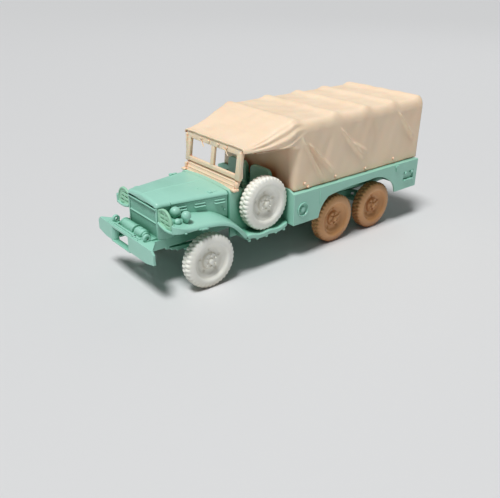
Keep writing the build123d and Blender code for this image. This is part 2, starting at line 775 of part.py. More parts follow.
# Nose shell, closed in front over the grille
nose_solid = hood_form(NOSE_Y, NOSE_REAR, RAIL_TOP)
brow = block((-HOOD_HALF_REAR, HOOD_HALF_REAR), (NOSE_Y, NOSE_Y + SKIN), (GRILLE_TOP, HOOD_CROWN_FRONT + 1))
nose = nose_solid - hood_void(NOSE_Y - 1, NOSE_REAR + 1, RAIL_TOP - 1)
nose += brow & nose_solid
nose -= both_fills
nodes["nose"] = nose

# Grille: bars and one rib on a plate
grille_half = HOOD_HALF_FRONT - SKIN
bars_y = (NOSE_Y, NOSE_Y + GRILLE_RELIEF)
plate_y = (bars_y[1], bars_y[1] + GRILLE_PLATE)
pitch = 2 * (grille_half - GRILLE_RIM) / (GRILLE_BARS + 1)
comb = [(grille_half, plate_y[1]), (-grille_half, plate_y[1]), (-grille_half, plate_y[0])]
for count in range(GRILLE_BARS):
    x = pitch * (count + 1) + GRILLE_RIM - grille_half
    for bar_x, depth in ((x - GRILLE_BAR / 2, 0), (x + GRILLE_BAR / 2, 1)):
        comb += [(bar_x, bars_y[1 - depth]), (bar_x, bars_y[depth])]
comb.append((grille_half, plate_y[0]))
grille = upward(outline(*comb), RAIL_TOP, GRILLE_TOP)
nodes["grille"] = grille

# Lamp guard's place: let into the fender's front
guard_y = (GUARD_Y, GUARD_Y + GUARD_THICK)
guard_low_centre = (GUARD_OUTER - GUARD_ROUND_LOW, GUARD_LOW + GUARD_ROUND_LOW)
guard_top_centre = (GUARD_OUTER - GUARD_ROUND_TOP, GUARD_TOP - GUARD_ROUND_TOP)


def guard_face(inset):
    """Left guard's face, drawn inwards by the inset."""
    return outline(
        (GUARD_INNER + inset, GUARD_LOW + GUARD_RISE + inset),
        *round_corners(guard_low_centre, GUARD_ROUND_LOW - inset, -90, 0, 4),
        *round_corners(guard_top_centre, GUARD_ROUND_TOP - inset, 0, 80, 6),
        (GUARD_INNER + inset, GUARD_TOP - GUARD_RISE - inset),
    )


def fender_plan(inset):
    """Plan of the left fender, drawn inwards by the inset."""
    front, outer = FENDER_FRONT + inset, FENDER_OUTER - inset
    corner = FENDER_CORNER - inset
    plan = outline(
        (FENDER_INNER - 1, front),
        *round_corners((outer - corner, front + corner), corner, -90, 0, 3),
        (outer, BOARD_REAR),
        (FENDER_INNER - 1, BOARD_REAR),
    )
    return upward(plan, 0, BOW_ROOF)


# Fender: top sheet, rolled lip, and an apron round the outer front corner
apron_face = outline(
    (GUARD_INNER - 1, GUARD_LOW + 1),
    (FENDER_INNER + FENDER_CORNER * 2, APRON_LOW),
    (FENDER_OUTER, APRON_END),
    (FENDER_OUTER, BOW_ROOF),
    (GUARD_INNER - 1, BOW_ROOF),
)
apron = along(apron_face, FENDER_FRONT, FENDER_FRONT + FENDER_CORNER)
apron_side = outline(
    (FENDER_FRONT, APRON_END),
    APRON_KNEE,
    (APRON_KNEE[0], BOW_ROOF),
    (FENDER_FRONT, BOW_ROOF),
)
apron += across(apron_side, FENDER_OUTER - FENDER_CORNER, FENDER_OUTER)
lip_band = fender_fill - under_fender(FENDER_LIP)
fender = (fender_fill & fender_plan(0)) - (under_fender(FENDER_THICK) & fender_plan(FENDER_THICK))
fender &= lip_band + apron
inner_panel = block((web_x, RAIL_OUTER), (FENDER_FRONT, HOOD_REAR), (RAIL_TOP, BOW_ROOF))
fender += inner_panel & fender_fill
fender -= block((0, CAB_HALF), (HOOD_REAR, BOARD_REAR), (0, BOW_ROOF))
board_mid = (BOARD_FRONT + BOARD_REAR) / 2
board_ends = BOARD_TOP + BOARD_RISE
board = drawn(
    (BOARD_FRONT, board_ends),
    ((board_mid, BOARD_TOP), (BOARD_REAR, board_ends)),
    (BOARD_REAR, board_ends - BOARD_END),
    ((board_mid, BOARD_TOP - BOARD_THICK), (BOARD_FRONT, board_ends - BOARD_END)),
)
fender += across(board, CAB_HALF, FENDER_OUTER)
fender -= along(guard_face(0), FENDER_FRONT - 1, guard_y[1])
nodes["fender_left"] = fender
nodes["fender_right"] = mirror(fender, Plane.YZ)

# Lamp guard: rim, recess and two columns of slots, shorter row by row upwards
guard = along(guard_face(0), *guard_y)
guard -= along(guard_face(GUARD_RIM), guard_y[0], guard_y[0] + GUARD_RECESS)
for row in range(SLOT_ROWS):
    low = SLOT_LOW + row * SLOT_PITCH
    for count, (inner, outer) in enumerate(SLOT_COLUMNS):
        reach = outer - row * count * SLOT_SHORTER
        guard -= block((inner, reach), guard_y, (low, low + SLOT_HEIGHT))
nodes["guard_left"] = guard
nodes["guard_right"] = mirror(guard, Plane.YZ)


def lamp(x, y, z, radius, depth):
    """Lamp whose bowl narrows backwards from the lens, on a stalk that ends at the fender."""
    bowl_line = ((0, radius), (depth * 0.3, radius), (depth * 0.7, radius * 0.78), (depth, radius * 0.35))
    bowl = spindle((x, y, z), (0, 1, 0), bowl_line, LAMP_SIDES)
    stalk_line = ((0, radius * 0.3), (STALK_LENGTH + radius, radius * 0.6))
    stalk = spindle((x, y + depth * 0.45, z - radius - STALK_LENGTH), (0, 0, 1), stalk_line, 8)
    return (bowl + stalk) - fender_fill


pair = lamp(*HEADLAMP) + lamp(*MARKER)
nodes["lamps_left"] = pair + lamp(*BLACKOUT)
nodes["lamps_right"] = mirror(pair, Plane.YZ)


def cowl_form(front, rear, inset, base):
    """Cowl between two places along y, drawn inwards by the inset and down to the base."""
    half, top = CAB_HALF - inset, COWL_TOP - inset
    corner = COWL_CORNER * (1 - math.sqrt(0.5)) * 0.8
    face = drawn(
        (-half, base),
        (half, base),
        (half, top - COWL_CORNER * 0.6),
        ((half - corner, top - corner * 0.6), (half - COWL_CORNER, top)),
        ((0, top + COWL_CROWN), (COWL_CORNER - half, top)),
        ((corner - half, top - corner * 0.6), (-half, top - COWL_CORNER * 0.6)),
    )
    return along(face, front, rear)


# Cab tub: cowl, floor, dash, sills with the door openings, and the back
cab = cowl_form(HOOD_REAR, COWL_REAR, 0, FLOOR_LOW)
cab -= cowl_form(HOOD_REAR + CAB_WALL, COWL_REAR + 1, CAB_WALL, CAB_FLOOR)
cab += block((-CAB_HALF, CAB_HALF), (HOOD_REAR, CAB_REAR), (FLOOR_LOW, CAB_FLOOR))
inner_half = CAB_HALF - CAB_WALL
dash_z = (DASH_LOW, COWL_TOP - CAB_WALL - COWL_CROWN)
cab += block((-inner_half, inner_half), (COWL_REAR - DASH_DEPTH, COWL_REAR), dash_z)
sill = outline(
    (HOOD_REAR, SILL_BOTTOM),
    (CAB_REAR, SILL_BOTTOM),
    (CAB_REAR, CAB_BACK_TOP),
    (DOOR_REAR + 1.4, CAB_BACK_TOP),
    (DOOR_REAR, SILL_TOP),
    (DOOR_FRONT, SILL_TOP),
    (COWL_REAR, SILL_TOP + 1.8),
    (COWL_REAR, CAB_FLOOR),
    (HOOD_REAR, CAB_FLOOR),
)
cab += both(across(sill, inner_half, CAB_HALF))
cab += block((-CAB_HALF, CAB_HALF), (CAB_REAR - CAB_WALL, CAB_REAR), (CAB_FLOOR, CAB_BACK_TOP))
nodes["cab"] = less(cab, "engine", "fender_left", "fender_right")

# Seats, one each side, against the cab's back
seat_rear = CAB_REAR - CAB_WALL
back_front = seat_rear - SEAT_BACK
seat_x = (SEAT_X - SEAT_HALF, SEAT_X + SEAT_HALF)
seat = block(seat_x, (SEAT_FRONT, back_front), (SEAT_BASE_TOP, SEAT_BASE_TOP + SEAT_CUSHION))
base_x = (seat_x[0] + FREE_GAP, seat_x[1] - FREE_GAP)
seat += block(base_x, (SEAT_FRONT + FREE_GAP, seat_rear), (CAB_FLOOR, SEAT_BASE_TOP))
back = outline(
    (seat_x[0], SEAT_BASE_TOP),
    (seat_x[1], SEAT_BASE_TOP),
    *round_corners((seat_x[1] - SEAT_ROUND, SEAT_TOP - SEAT_ROUND), SEAT_ROUND, 0, 90, 4),
    *round_corners((seat_x[0] + SEAT_ROUND, SEAT_TOP - SEAT_ROUND), SEAT_ROUND, 90, 180, 4),
)
seat += along(back, back_front, seat_rear)
nodes["seat_left"] = seat
nodes["seat_right"] = mirror(seat, Plane.YZ)

# Steering wheel on its column
column_foot, column_head = Vector(SEAT_X, COLUMN_Y, COLUMN_Z), Vector(SEAT_X, STEERING_Y, STEERING_Z)
wheel_plane = Plane(column_head, z_dir=column_head - column_foot)
rim_ring = RegularPolygon(STEERING_R, 16) - RegularPolygon(STEERING_R - STEERING_RIM, 16)
steering = extrude(wheel_plane * rim_ring, STEERING_RIM)
for spoke in range(3):
    reach = (0, STEERING_R - STEERING_RIM / 2)
    width = (-STEERING_RIM / 2, STEERING_RIM / 2)
    arm = block(reach, width, (STEERING_RIM / 4, STEERING_RIM * 0.75))
    steering += wheel_plane * (Rot(0, 0, 90 + 120 * spoke) * arm)
column_end = column_head + (column_head - column_foot).normalized() * STEERING_RIM
cab_room = block((-CAB_HALF, CAB_HALF), (COWL_REAR, BED_FRONT), (CAB_FLOOR, BOW_ROOF))
steering += bar(column_foot, column_end, COLUMN_R) & cab_room
nodes["steering"] = steering

# Windscreen frame, its sloping apron seated on the cowl
screen_rear = SCREEN_Y + SCREEN_THICK
screen = outline(
    (SCREEN_Y - SCREEN_APRON, SCREEN_FOOT),
    (screen_rear, SCREEN_FOOT),
    (screen_rear, SCREEN_TOP),
    (SCREEN_Y, SCREEN_TOP),
    (SCREEN_Y, PANE_BOTTOM - SCREEN_APRON / 2),
)
screen = across(screen, -SCREEN_HALF, SCREEN_HALF)
for pane_x in ((POST_HALF, PANE_OUTER), (-PANE_OUTER, -POST_HALF)):
    screen -= block(pane_x, (SCREEN_Y - 1, screen_rear + 1), (PANE_BOTTOM, PANE_TOP))
screen -= cowl_form(HOOD_REAR - 1, screen_rear + 1, 0, RAIL_TOP)
nodes["windscreen"] = screen

# Wipers: upper and lower end as (x, z)
wiper_lines = (((-5.1, 26.5), (-4.1, 25.7)), ((3.4, 26.5), (4.6, 25.7)))
wipers = None
for top, low in wiper_lines:
    wiper_y = SCREEN_Y - WIPER_R
    blade = bar((top[0], wiper_y, top[1]), (low[0], wiper_y, low[1]), WIPER_R, 4)
    wipers = blade if wipers is None else wipers + blade
nodes["wipers"] = less(wipers, "windscreen")

# Cargo bed: sides with their long wheel opening, floor, housings over the wheels, rims and sills
well_front = REAR_AXLES[0] - TYRE_R - WELL_AHEAD
well_rear = REAR_AXLES[1] + TYRE_R + WELL_BEHIND
rise = WELL_ARCH - BED_SKIRT
opening = drawn(
    (well_front, 0),
    (well_front, BED_SKIRT),
    (
        (well_front + WELL_RAMP * 0.07, WELL_ARCH - rise * 0.5),
        (well_front + WELL_RAMP * 0.22, WELL_ARCH - rise * 0.15),
    ),
    ((well_front + WELL_RAMP * 0.58, WELL_ARCH - rise * 0.03), (well_front + WELL_RAMP, WELL_ARCH)),
    (well_rear - WELL_FALL, WELL_ARCH),
    (
        (well_rear - WELL_FALL * 0.47, WELL_ARCH - rise * 0.1),
        (well_rear - WELL_FALL * 0.25, WELL_ARCH - rise * 0.32),
    ),
    ((well_rear - WELL_FALL * 0.07, WELL_ARCH - rise * 0.63), (well_rear, BED_SKIRT)),
    (well_rear, 0),
)
gate_front = BED_REAR - GATE_THICK
bed = both(block((BED_INSIDE, BED_HALF), (BED_FRONT, BED_REAR), (BED_SKIRT, BED_RIM)))
bed -= across(opening, -BED_HALF - 1, BED_HALF + 1)
bed += block((-BED_INSIDE, BED_INSIDE), (BED_FRONT, gate_front), (BED_UNDER, BED_FLOOR))
panel = drawn(
    (-BED_INSIDE, BED_UNDER),
    (BED_INSIDE, BED_UNDER),
    (BED_INSIDE, BED_RIM),
    (BED_INSIDE - RIM_WIDTH, FRONT_PANEL_TOP),
    (RIM_WIDTH - BED_INSIDE, FRONT_PANEL_TOP),
    (-BED_INSIDE, BED_RIM),
)
bed += along(panel, BED_FRONT, COVER_FRONT)
housing_y = (well_front - WELL_WALL, well_rear + WELL_WALL)
bed += both(block((WELL_INNER, BED_INSIDE), housing_y, (BED_UNDER, WELL_TOP)))
bed -= both(block((WELL_INNER + WELL_WALL, BED_INSIDE), (well_front, well_rear), (0, WELL_TOP - WELL_WALL)))
corner_x = (BED_INSIDE - CORNER_PANEL, BED_INSIDE)
for corner_y in ((BED_FRONT, COVER_FRONT), (gate_front - BED_WALL, BED_REAR)):
    bed += both(block(corner_x, corner_y, (BED_SKIRT, BED_UNDER)))
rim_x, rim_z = (BED_HALF - RIM_WIDTH, BED_INSIDE), (BED_RIM - RIM_THICK, BED_RIM)
bed += both(block(rim_x, (COVER_FRONT, BED_REAR), rim_z))
sill_z = (RAIL_TOP, BED_UNDER)
for y in (BED_FRONT + SILL_FRONT, well_front - SILL_END, well_rear + SILL_END, gate_front - SILL_END):
    bed += block((-BED_INSIDE, BED_INSIDE), (y - SILL_HALF, y + SILL_HALF), sill_z)
bed += both(block((flange_x, RAIL_OUTER), (BED_FRONT, FRAME_REAR), sill_z))
# Left side only: filler recess with its cap
filler = (BED_HALF, FILLER_Y, FILLER_Z)
bed -= bar((BED_HALF - FILLER_DEPTH, FILLER_Y, FILLER_Z), (BED_HALF + 1, FILLER_Y, FILLER_Z), FILLER_R, 14)
cap = ((0, FILLER_R * 0.5), (FILLER_DEPTH * 0.6, FILLER_R * 0.5), (FILLER_DEPTH, FILLER_R * 0.3))
bed += spindle((BED_HALF - FILLER_DEPTH, FILLER_Y, FILLER_Z), (1, 0, 0), cap, 8)
# Both sides: pocket near the tail
pocket = block((BED_HALF - POCKET_DEPTH, BED_HALF), (POCKET_FRONT, POCKET_REAR), (POCKET_LOW, POCKET_TOP))
bed -= both(pocket)
nodes["bed"] = bed

# Tailgate between the sides, against the floor's rear edge
gate_half = BED_HALF - RIM_WIDTH - FREE_GAP
gate = block((-gate_half, gate_half), (gate_front, BED_REAR), (BED_UNDER, BED_RIM))
nodes["tailgate"] = gate


def cover_corners(y, roof, hem, half, corner):
    """Corners of the cover's cross-section at y, with both shoulders rounded in chords."""
    left = round_corners((half - corner, roof - corner), corner, 0, 90, SHOULDER_CHORDS)
    right = [(-x, z) for x, z in reversed(left)]
    return [(x, y, z) for x, z in ((half, hem), *left, *right, (-half, hem))]


# Canopy over the cab: y, height of roof and hem, half width, corner
canopy_rows = (
    (SCREEN_Y + 0.25, 27.95, 27.0, 11.0, 0.6),
    (13.5, 28.7, 27.0, 11.6, 0.9),
    (17.0, 30.0, 26.9, 12.3, 1.3),
    (20.5, 31.9, 26.7, 13.2, 1.9),
    (COVER_FRONT, BOW_ROOF, 26.5, COVER_HALF, COVER_SHOULDER_R),
)


def canopy_form(inset):
    """Canopy drawn inwards by the inset; any inset opens its front and its underside."""
    faces = []
    for y, roof, hem, half, corner in canopy_rows:
        corners = cover_corners(y, roof - inset, hem - inset, half - inset, corner)
        faces.append(Face(Wire.make_polygon(corners)))
    return loft(faces, ruled=True)


canopy = canopy_form(0)
canopy_void = canopy_form(CANOPY_THICK)

# Roof over the bed: share of a bay behind each bow, and how much of the sag is reached there
bay_shape = ((0, 0), (0.2, 0.75), (0.5, 1), (0.8, 0.75))
bow_first, bow_last = COVER_FRONT + COVER_THICK, REAR_END - BOW_REAR_GAP
bows = [bow_first + (bow_last - bow_first) * part for part in BOW_SHARES]
roof_line = [(COVER_FRONT, BOW_ROOF)]
for bow, next_bow in zip(bows, bows[1:]):
    roof_line += [(bow + far * (next_bow - bow), BOW_ROOF - SAG * part) for far, part in bay_shape]
roof_line += [(bow_last, BOW_ROOF), (REAR_END, BOW_ROOF - SAG / 4)]
rings = [cover_corners(y, roof, BED_RIM, COVER_HALF, COVER_SHOULDER_R) for y, roof in roof_line]
cover = flat_sided(*rings)
inner_roof = BOW_ROOF - SAG - COVER_THICK
inner_half = COVER_HALF - COVER_THICK
room_ends = (bow_first, REAR_END + 1)
room = [cover_corners(y, inner_roof, BED_RIM - 1, inner_half, COVER_SHOULDER_R) for y in room_ends]
cover = cover - flat_sided(*room)
cover += canopy - canopy_void
roll_z = inner_roof - CURTAIN_R * 0.7
roll_half = inner_half - COVER_SHOULDER_R
roll_y = REAR_END - 2 * CURTAIN_R
cover += bar((-roll_half, roll_y, roll_z), (roll_half, roll_y, roll_z), CURTAIN_R, 12)
nodes["cover"] = less(cover, "windscreen", "bed")

# Fuel tank under the bed's left front corner
tank_x = (BED_INSIDE - FREE_GAP - TANK_WIDTH, BED_INSIDE - FREE_GAP)
tank_y = (COVER_FRONT + FREE_GAP, well_front - WELL_WALL)
tank_top = BED_UNDER
tank_low = tank_top - TANK_HEIGHT
tank = outline(
    (tank_x[1], tank_top),
    (tank_x[0], tank_top),
    *round_corners((tank_x[0] + TANK_ROUND, tank_low + TANK_ROUND), TANK_ROUND, 180, 270, 3),
    *round_corners((tank_x[1] - TANK_ROUND, tank_low + TANK_ROUND), TANK_ROUND, 270, 360, 3),
)
nodes["fuel_tank"] = less(along(tank, *tank_y), "bed")

# Exhaust: down-pipe from the engine, long pipe, muffler and its strap
pipe_bend = (EXHAUST_X, GEARBOX_CROSS_Y, PIPE_LOW)
muffler_y = (COVER_FRONT + 1, COVER_FRONT + 1 + MUFFLER_LENGTH)
pipe = bar((-GEARBOX_HALF, ENGINE_REAR + 3, GEARBOX_LOW + EXHAUST_R), pipe_bend, EXHAUST_R)
pipe += bar(pipe_bend, (EXHAUST_X, muffler_y[0] + 1, EXHAUST_Z), EXHAUST_R)
elbow = (PIPE_LOW - EXHAUST_R, PIPE_LOW + EXHAUST_R)
pipe += bar((*pipe_bend[:2], elbow[0]), (*pipe_bend[:2], elbow[1]), EXHAUST_R)
pipe += bar((EXHAUST_X, muffler_y[0], EXHAUST_Z), (EXHAUST_X, muffler_y[1], EXHAUST_Z), MUFFLER_R, 12)
strap_y = (sum(muffler_y) / 2 - 0.4, sum(muffler_y) / 2 + 0.4)
pipe += block((EXHAUST_X - 0.4, EXHAUST_X + 0.4), strap_y, (EXHAUST_Z, BED_UNDER))
nodes["exhaust"] = less(pipe, "engine", "frame", "bed")

# Tail lamps and tow hook
tail_lamp_x = BED_HALF - TAIL_LAMP_SIDE
lamp_low = (tail_lamp_x, BED_REAR, TAIL_LAMP_Z)
tail_lamp = bar(lamp_low, (tail_lamp_x, REAR_END, TAIL_LAMP_Z), TAIL_LAMP_R, 12)
nodes["tail_lamps"] = both(tail_lamp)
hook_y = REAR_END - HOOK_R
hook_z = (HOOK_Z - HOOK_THICK / 2, HOOK_Z + HOOK_THICK / 2)
hook = bar((0, hook_y, hook_z[0]), (0, hook_y, hook_z[1]), HOOK_R, 12)
hook += block((-HOOK_R / 2, HOOK_R / 2), (FRAME_REAR, hook_y), hook_z)
hook += block((-CROSS_DEPTH, CROSS_DEPTH), (FRAME_REAR, FRAME_REAR + RAIL_WALL), (channel_low, channel_top))
hook -= round_bar((0, hook_y, RAIL_BOTTOM), (0, hook_y, RAIL_TOP), HOOK_HOLE_R)
nodes["tow_hook"] = hook

# Spare wheel upright beside the cab, on a carrier bolted to the sill
carrier_low = SILL_TOP - 2 * CROSS_DEPTH
carrier_y = (SPARE_Y - CROSS_DEPTH / 2, SPARE_Y + CROSS_DEPTH / 2)
carrier = block((CAB_HALF, SPARE_INNER), carrier_y, (carrier_low, SPARE_Z))
carrier += bar((CAB_HALF, SPARE_Y, SPARE_Z), (SPARE_INNER, SPARE_Y, SPARE_Z), HUB_R, 12)
nodes["spare_carrier"] = less(carrier, "fender_left")
nodes["spare_wheel"] = Pos(SPARE_INNER, SPARE_Y, SPARE_Z) * wheel(False)

# Road wheels: place and y of its axle
left_wheel = wheel(True)
right_wheel = mirror(left_wheel, Plane.YZ)
for place, y in (("front", 0), ("middle", REAR_AXLES[0]), ("rear", REAR_AXLES[1])):
    nodes["wheel_" + place + "_left"] = Pos(WHEEL_INNER, y, AXLE_Z) * left_wheel
    nodes["wheel_" + place + "_right"] = Pos(-WHEEL_INNER, y, AXLE_Z) * right_wheel

# One file a piece, moved so that y = 0 lies midway between the two ends
os.makedirs("parts", exist_ok=True)
to_middle = Pos(0, -(FRONT_END + REAR_END) / 2, 0)
for name, shape in nodes.items():
    export_step(to_middle * shape, "parts/" + name + ".step")
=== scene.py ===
import json
import math

import bmesh
import bpy
import numpy as np
from mathutils import Matrix, Vector

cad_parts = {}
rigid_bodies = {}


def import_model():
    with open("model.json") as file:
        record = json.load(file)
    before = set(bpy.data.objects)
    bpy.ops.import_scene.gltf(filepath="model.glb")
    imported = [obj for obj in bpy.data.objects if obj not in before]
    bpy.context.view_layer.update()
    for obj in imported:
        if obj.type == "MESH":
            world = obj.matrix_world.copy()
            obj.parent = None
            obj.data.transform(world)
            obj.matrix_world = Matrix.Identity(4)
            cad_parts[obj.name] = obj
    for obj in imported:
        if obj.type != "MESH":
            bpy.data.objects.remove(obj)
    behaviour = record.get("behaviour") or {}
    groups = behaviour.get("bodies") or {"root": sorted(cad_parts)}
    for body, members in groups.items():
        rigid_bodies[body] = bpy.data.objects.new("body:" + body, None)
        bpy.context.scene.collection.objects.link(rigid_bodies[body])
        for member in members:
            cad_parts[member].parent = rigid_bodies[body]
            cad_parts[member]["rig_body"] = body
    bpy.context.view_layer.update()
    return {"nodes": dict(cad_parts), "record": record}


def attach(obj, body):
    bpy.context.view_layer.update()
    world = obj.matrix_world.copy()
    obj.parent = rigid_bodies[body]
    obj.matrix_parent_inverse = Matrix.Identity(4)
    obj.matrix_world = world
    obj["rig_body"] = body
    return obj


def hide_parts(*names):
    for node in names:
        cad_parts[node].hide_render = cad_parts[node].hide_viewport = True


# A plastic scale model of a six-wheeled cargo truck, dressed for a plain studio picture. Metres;
# the truck faces -y, its own left side is +x, and z = 0 is the table top under its tyres.
# Shapes are worked out in millimetres with y counted from the front axle, then moved.

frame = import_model()
nodes = frame["nodes"]
scene = bpy.context.scene
slot_of = {part["node"]: part["material_slot"] for part in frame["record"]["subparts"]}

MM = 0.001
MID = 26.905  # y of the middle of the truck's length
SIDES = ((1, "left"), (-1, "right"))
MIRROR = (-1, 1, 1)
QUARTER = np.pi / 2


# Materials
# Reach of the ambient occlusion that paints shade into closed-in places
PAINTED_SHADE_REACH = 8 * MM
FLOW_SCALE, SKIN_SCALE = 120, 200  # patches per metre of drifting colour and of skin
FINISHES = {
    # Base and deep colour, and the painted shade colour for closed-in places; drift, smoothest and
    # roughest skin, glow, its tint and reach
    "mint_green": ("mint_plastic", (162, 217, 199), (152, 208, 187), (88, 158, 130), 0.35, 0.3, 0.4, 0),
    "yellow_green": ("guard_plastic", (164, 218, 188), (152, 208, 174), (100, 166, 126),
        0.35, 0.3, 0.4, 0),
    "canvas_cream": ("canvas_plastic", (252, 226, 197), (246, 215, 183), (204, 116, 66),
        0.35, 0.42, 0.52, 0.25, (1, 0.5, 0.3), 0.4),
    "tan_brown": ("brown_plastic", (216, 164, 112), (196, 140, 88), (160, 100, 56),
        0.5, 0.32, 0.42, 0.1, (1, 0.6, 0.35)),
    "milky_white": ("milky_plastic", (250, 250, 241), (240, 240, 228), (208, 201, 184),
        0.4, 0.3, 0.4, 0.2, (1, 0.95, 0.85)),
}


def colour(red, green, blue):
    """Linear colour from screen values of 0 to 255."""
    values = np.array((red, green, blue)) / 255
    return (*np.where(values <= 0.04045, values / 12.92, ((values + 0.055) / 1.055) ** 2.4), 1)


def node(tree, kind, **settings):
    made = tree.nodes.new(kind)
    for key, value in settings.items():
        setattr(made, key, value)
    return made


def group_of(name, inputs, output, kind):
    """New node group with its start and end, from inputs and one output, each with its kind."""
    tree = bpy.data.node_groups.new(name, "ShaderNodeTree")
    for label, input_kind in inputs.items():
        tree.interface.new_socket(name=label, in_out="INPUT", socket_type="NodeSocket" + input_kind)
    tree.interface.new_socket(name=output, in_out="OUTPUT", socket_type="NodeSocket" + kind)
    return tree, tree.nodes.new("NodeGroupInput").outputs, tree.nodes.new("NodeGroupOutput").inputs


def fill(made, values):
    """Values of a node's inputs by their labels."""
    for label, value in values.items():
        made.inputs[label].default_value = value


def noise(tree, coords, scale, distortion=0):
    made = node(tree, "ShaderNodeTexNoise")
    fill(made, {"Scale": scale, "Detail": 1, "Distortion": distortion})
    tree.links.new(coords, made.inputs["Vector"])
    return made.outputs["Fac"]


def span(tree, value, low, high):
    """Smooth step of a value from 0 at low to 1 at high."""
    made = node(tree, "ShaderNodeMapRange", interpolation_type="SMOOTHSTEP")
    fill(made, {"From Min": low, "From Max": high})
    tree.links.new(value, made.inputs["Value"])
    return made.outputs["Result"]


def blend(tree, kind, share, first, second):
    """Mix of two outputs of a kind by a share."""
    made = node(tree, "ShaderNodeMix", data_type=kind)
    for output, label in ((share, "Factor"), (first, "A"), (second, "B")):
        tree.links.new(output, made.inputs[label])
    return made.outputs["Result"]


def make_flow_tone():
    """Colour that drifts from base to deep as plastic does along its flow."""
    inputs = {"Coords": "Vector", "Base": "Color", "Deep": "Color", "Drift": "Float"}
    tree, start, end = group_of("flow_tone", inputs, "Colour", "Color")
    drift = span(tree, noise(tree, start["Coords"], FLOW_SCALE, 0.6), 0.35, 0.68)
    amount = node(tree, "ShaderNodeMath", operation="MULTIPLY")
    tree.links.new(drift, amount.inputs[0])
    tree.links.new(start["Drift"], amount.inputs[1])
    tree.links.new(blend(tree, "RGBA", amount.outputs[0], start["Base"], start["Deep"]), end["Colour"])
    return tree


def make_mould_gloss():
    """Roughness of a moulded skin, which shines a little more in some places than in others."""
    inputs = {"Coords": "Vector", "Smoothest": "Float", "Roughest": "Float"}
    tree, start, end = group_of("mould_gloss", inputs, "Roughness", "Float")
    handled = span(tree, noise(tree, start["Coords"], SKIN_SCALE), 0.35, 0.7)
    rough = blend(tree, "FLOAT", handled, start["Smoothest"], start["Roughest"])
    tree.links.new(rough, end["Roughness"])
    return tree


def plastic(name, base, deep, hollow, drift, smoothest, roughest, glow, tint=(1, 0.9, 0.8), reach=0.3):
    """Moulded plastic with a painted shade colour, which ambient occlusion mixes in where parts close
    in; glow is the weight of the light that wanders under its skin, as far as the reach in mm and
    further in the tint's colours."""
    material = bpy.data.materials.new(name)
    material.use_nodes = True
    tree = material.node_tree
    shader = tree.nodes["Principled BSDF"]
    coords = node(tree, "ShaderNodeTexCoord").outputs["Object"]
    tone = node(tree, "ShaderNodeGroup", node_tree=flow_tone)
    gloss = node(tree, "ShaderNodeGroup", node_tree=mould_gloss)
    # Painted shade: ambient occlusion mixes the hollow colour into the base colour where parts close in
    shade_occlusion = node(tree, "ShaderNodeAmbientOcclusion", samples=8)
    painted_shade_mix = node(tree, "ShaderNodeMix", data_type="RGBA")
    fill(tone, {"Base": colour(*base), "Deep": colour(*deep), "Drift": drift})
    fill(gloss, {"Smoothest": smoothest, "Roughest": roughest})
    fill(shade_occlusion, {"Distance": PAINTED_SHADE_REACH})
    fill(painted_shade_mix, {"A": colour(*hollow)})
    fill(shader, {"Specular IOR Level": 0.45, "Subsurface Weight": glow})
    fill(shader, {"Subsurface Radius": tint, "Subsurface Scale": reach * MM})
    for output, made, label in (
        (coords, tone, "Coords"), (coords, gloss, "Coords"),
        (span(tree, shade_occlusion.outputs["AO"], 0.1, 0.8), painted_shade_mix, "Factor"),
        (tone.outputs["Colour"], painted_shade_mix, "B"), (painted_shade_mix.outputs["Result"], shader, "Base Color"),
        (gloss.outputs["Roughness"], shader, "Roughness"),
    ):
        tree.links.new(output, made.inputs[label])
    return material


flow_tone = make_flow_tone()
mould_gloss = make_mould_gloss()
finishes = {slot: plastic(*row) for slot, row in FINISHES.items()}


# Mesh helpers
JOIN_REACH = 0.002  # corners closer than this are one, in mm
SHEET = 0.4  # thickness of hood and fenders
FLAT_ANGLE, ROUND_ANGLE, SHARP_ANGLE = 0.6, 34, 50


def to_frame(points):
    """Points in mm with y from the front axle, as an array of rows in the shared frame's metres."""
    points = np.asarray(points, float).reshape(-1, 3) * MM
    points[:, 1] -= MID * MM
    return points


def join_corners(mesh, reach, outward=False, flat=False):
    """Joins corners within a reach in mm, and on request turns every face outward, or joins the
    faces that lie in one plane."""
    made = bmesh.new()
    made.from_mesh(mesh)
    bmesh.ops.remove_doubles(made, verts=made.verts, dist=reach * MM)
    if outward:
        bmesh.ops.recalc_face_normals(made, faces=made.faces)
    if flat:
        limit = math.radians(FLAT_ANGLE)
        bmesh.ops.dissolve_limit(made, angle_limit=limit, verts=made.verts, edges=made.edges)
    made.to_mesh(mesh)
    made.free()


def shade_smooth(mesh, sharp=None):
    """Smooth faces, with sharp edges above an angle in degrees."""
    mesh.polygons.foreach_set("use_smooth", np.ones(len(mesh.polygons), bool))
    if sharp:
        mesh.set_sharp_from_angle(angle=math.radians(sharp))
    mesh.update()


def link_new(name, data):
    made = bpy.data.objects.new(name, data)
    scene.collection.objects.link(made)
    return made


def put_in(name, mesh, slot, body, replaces):
    """Object of a mesh that rides on a body, with its material slot and the CAD node it replaces."""
    piece = link_new(name, mesh)
    mesh.materials.append(finishes[slot])
    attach(piece, body)
    if replaces:
        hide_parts(replaces)
    return piece


def add_piece(name, vertices, faces, slot, body="truck", replaces=None, crease=None):
    """Smooth object from vertices in mm and lists of corner numbers; a crease angle in degrees
    joins touching corners, turns faces outward and keeps edges above that angle sharp."""
    mesh = bpy.data.meshes.new(name)
    mesh.from_pydata(to_frame(vertices).tolist(), [], faces)
    if crease:
        join_corners(mesh, JOIN_REACH, outward=True)
    shade_smooth(mesh, crease)
    return put_in(name, mesh, slot, body, replaces)


def add_sheet(name, surface, replaces, thickness, slot="mint_green"):
    """Open surface of (vertices, faces), given a thickness in mm towards its inside."""
    piece = add_piece(name, *surface, slot, "truck", replaces)
    wall = piece.modifiers.new("sheet thickness", "SOLIDIFY")
    wall.thickness = thickness * MM
    wall.offset = -1
    return piece


def moulded(name, parts, replaces=None, crease=40, slot="mint_green"):
    """One piece on the truck's body from several closed parts in mm."""
    return add_piece(name, *join_parts(parts), slot, "truck", replaces, crease)


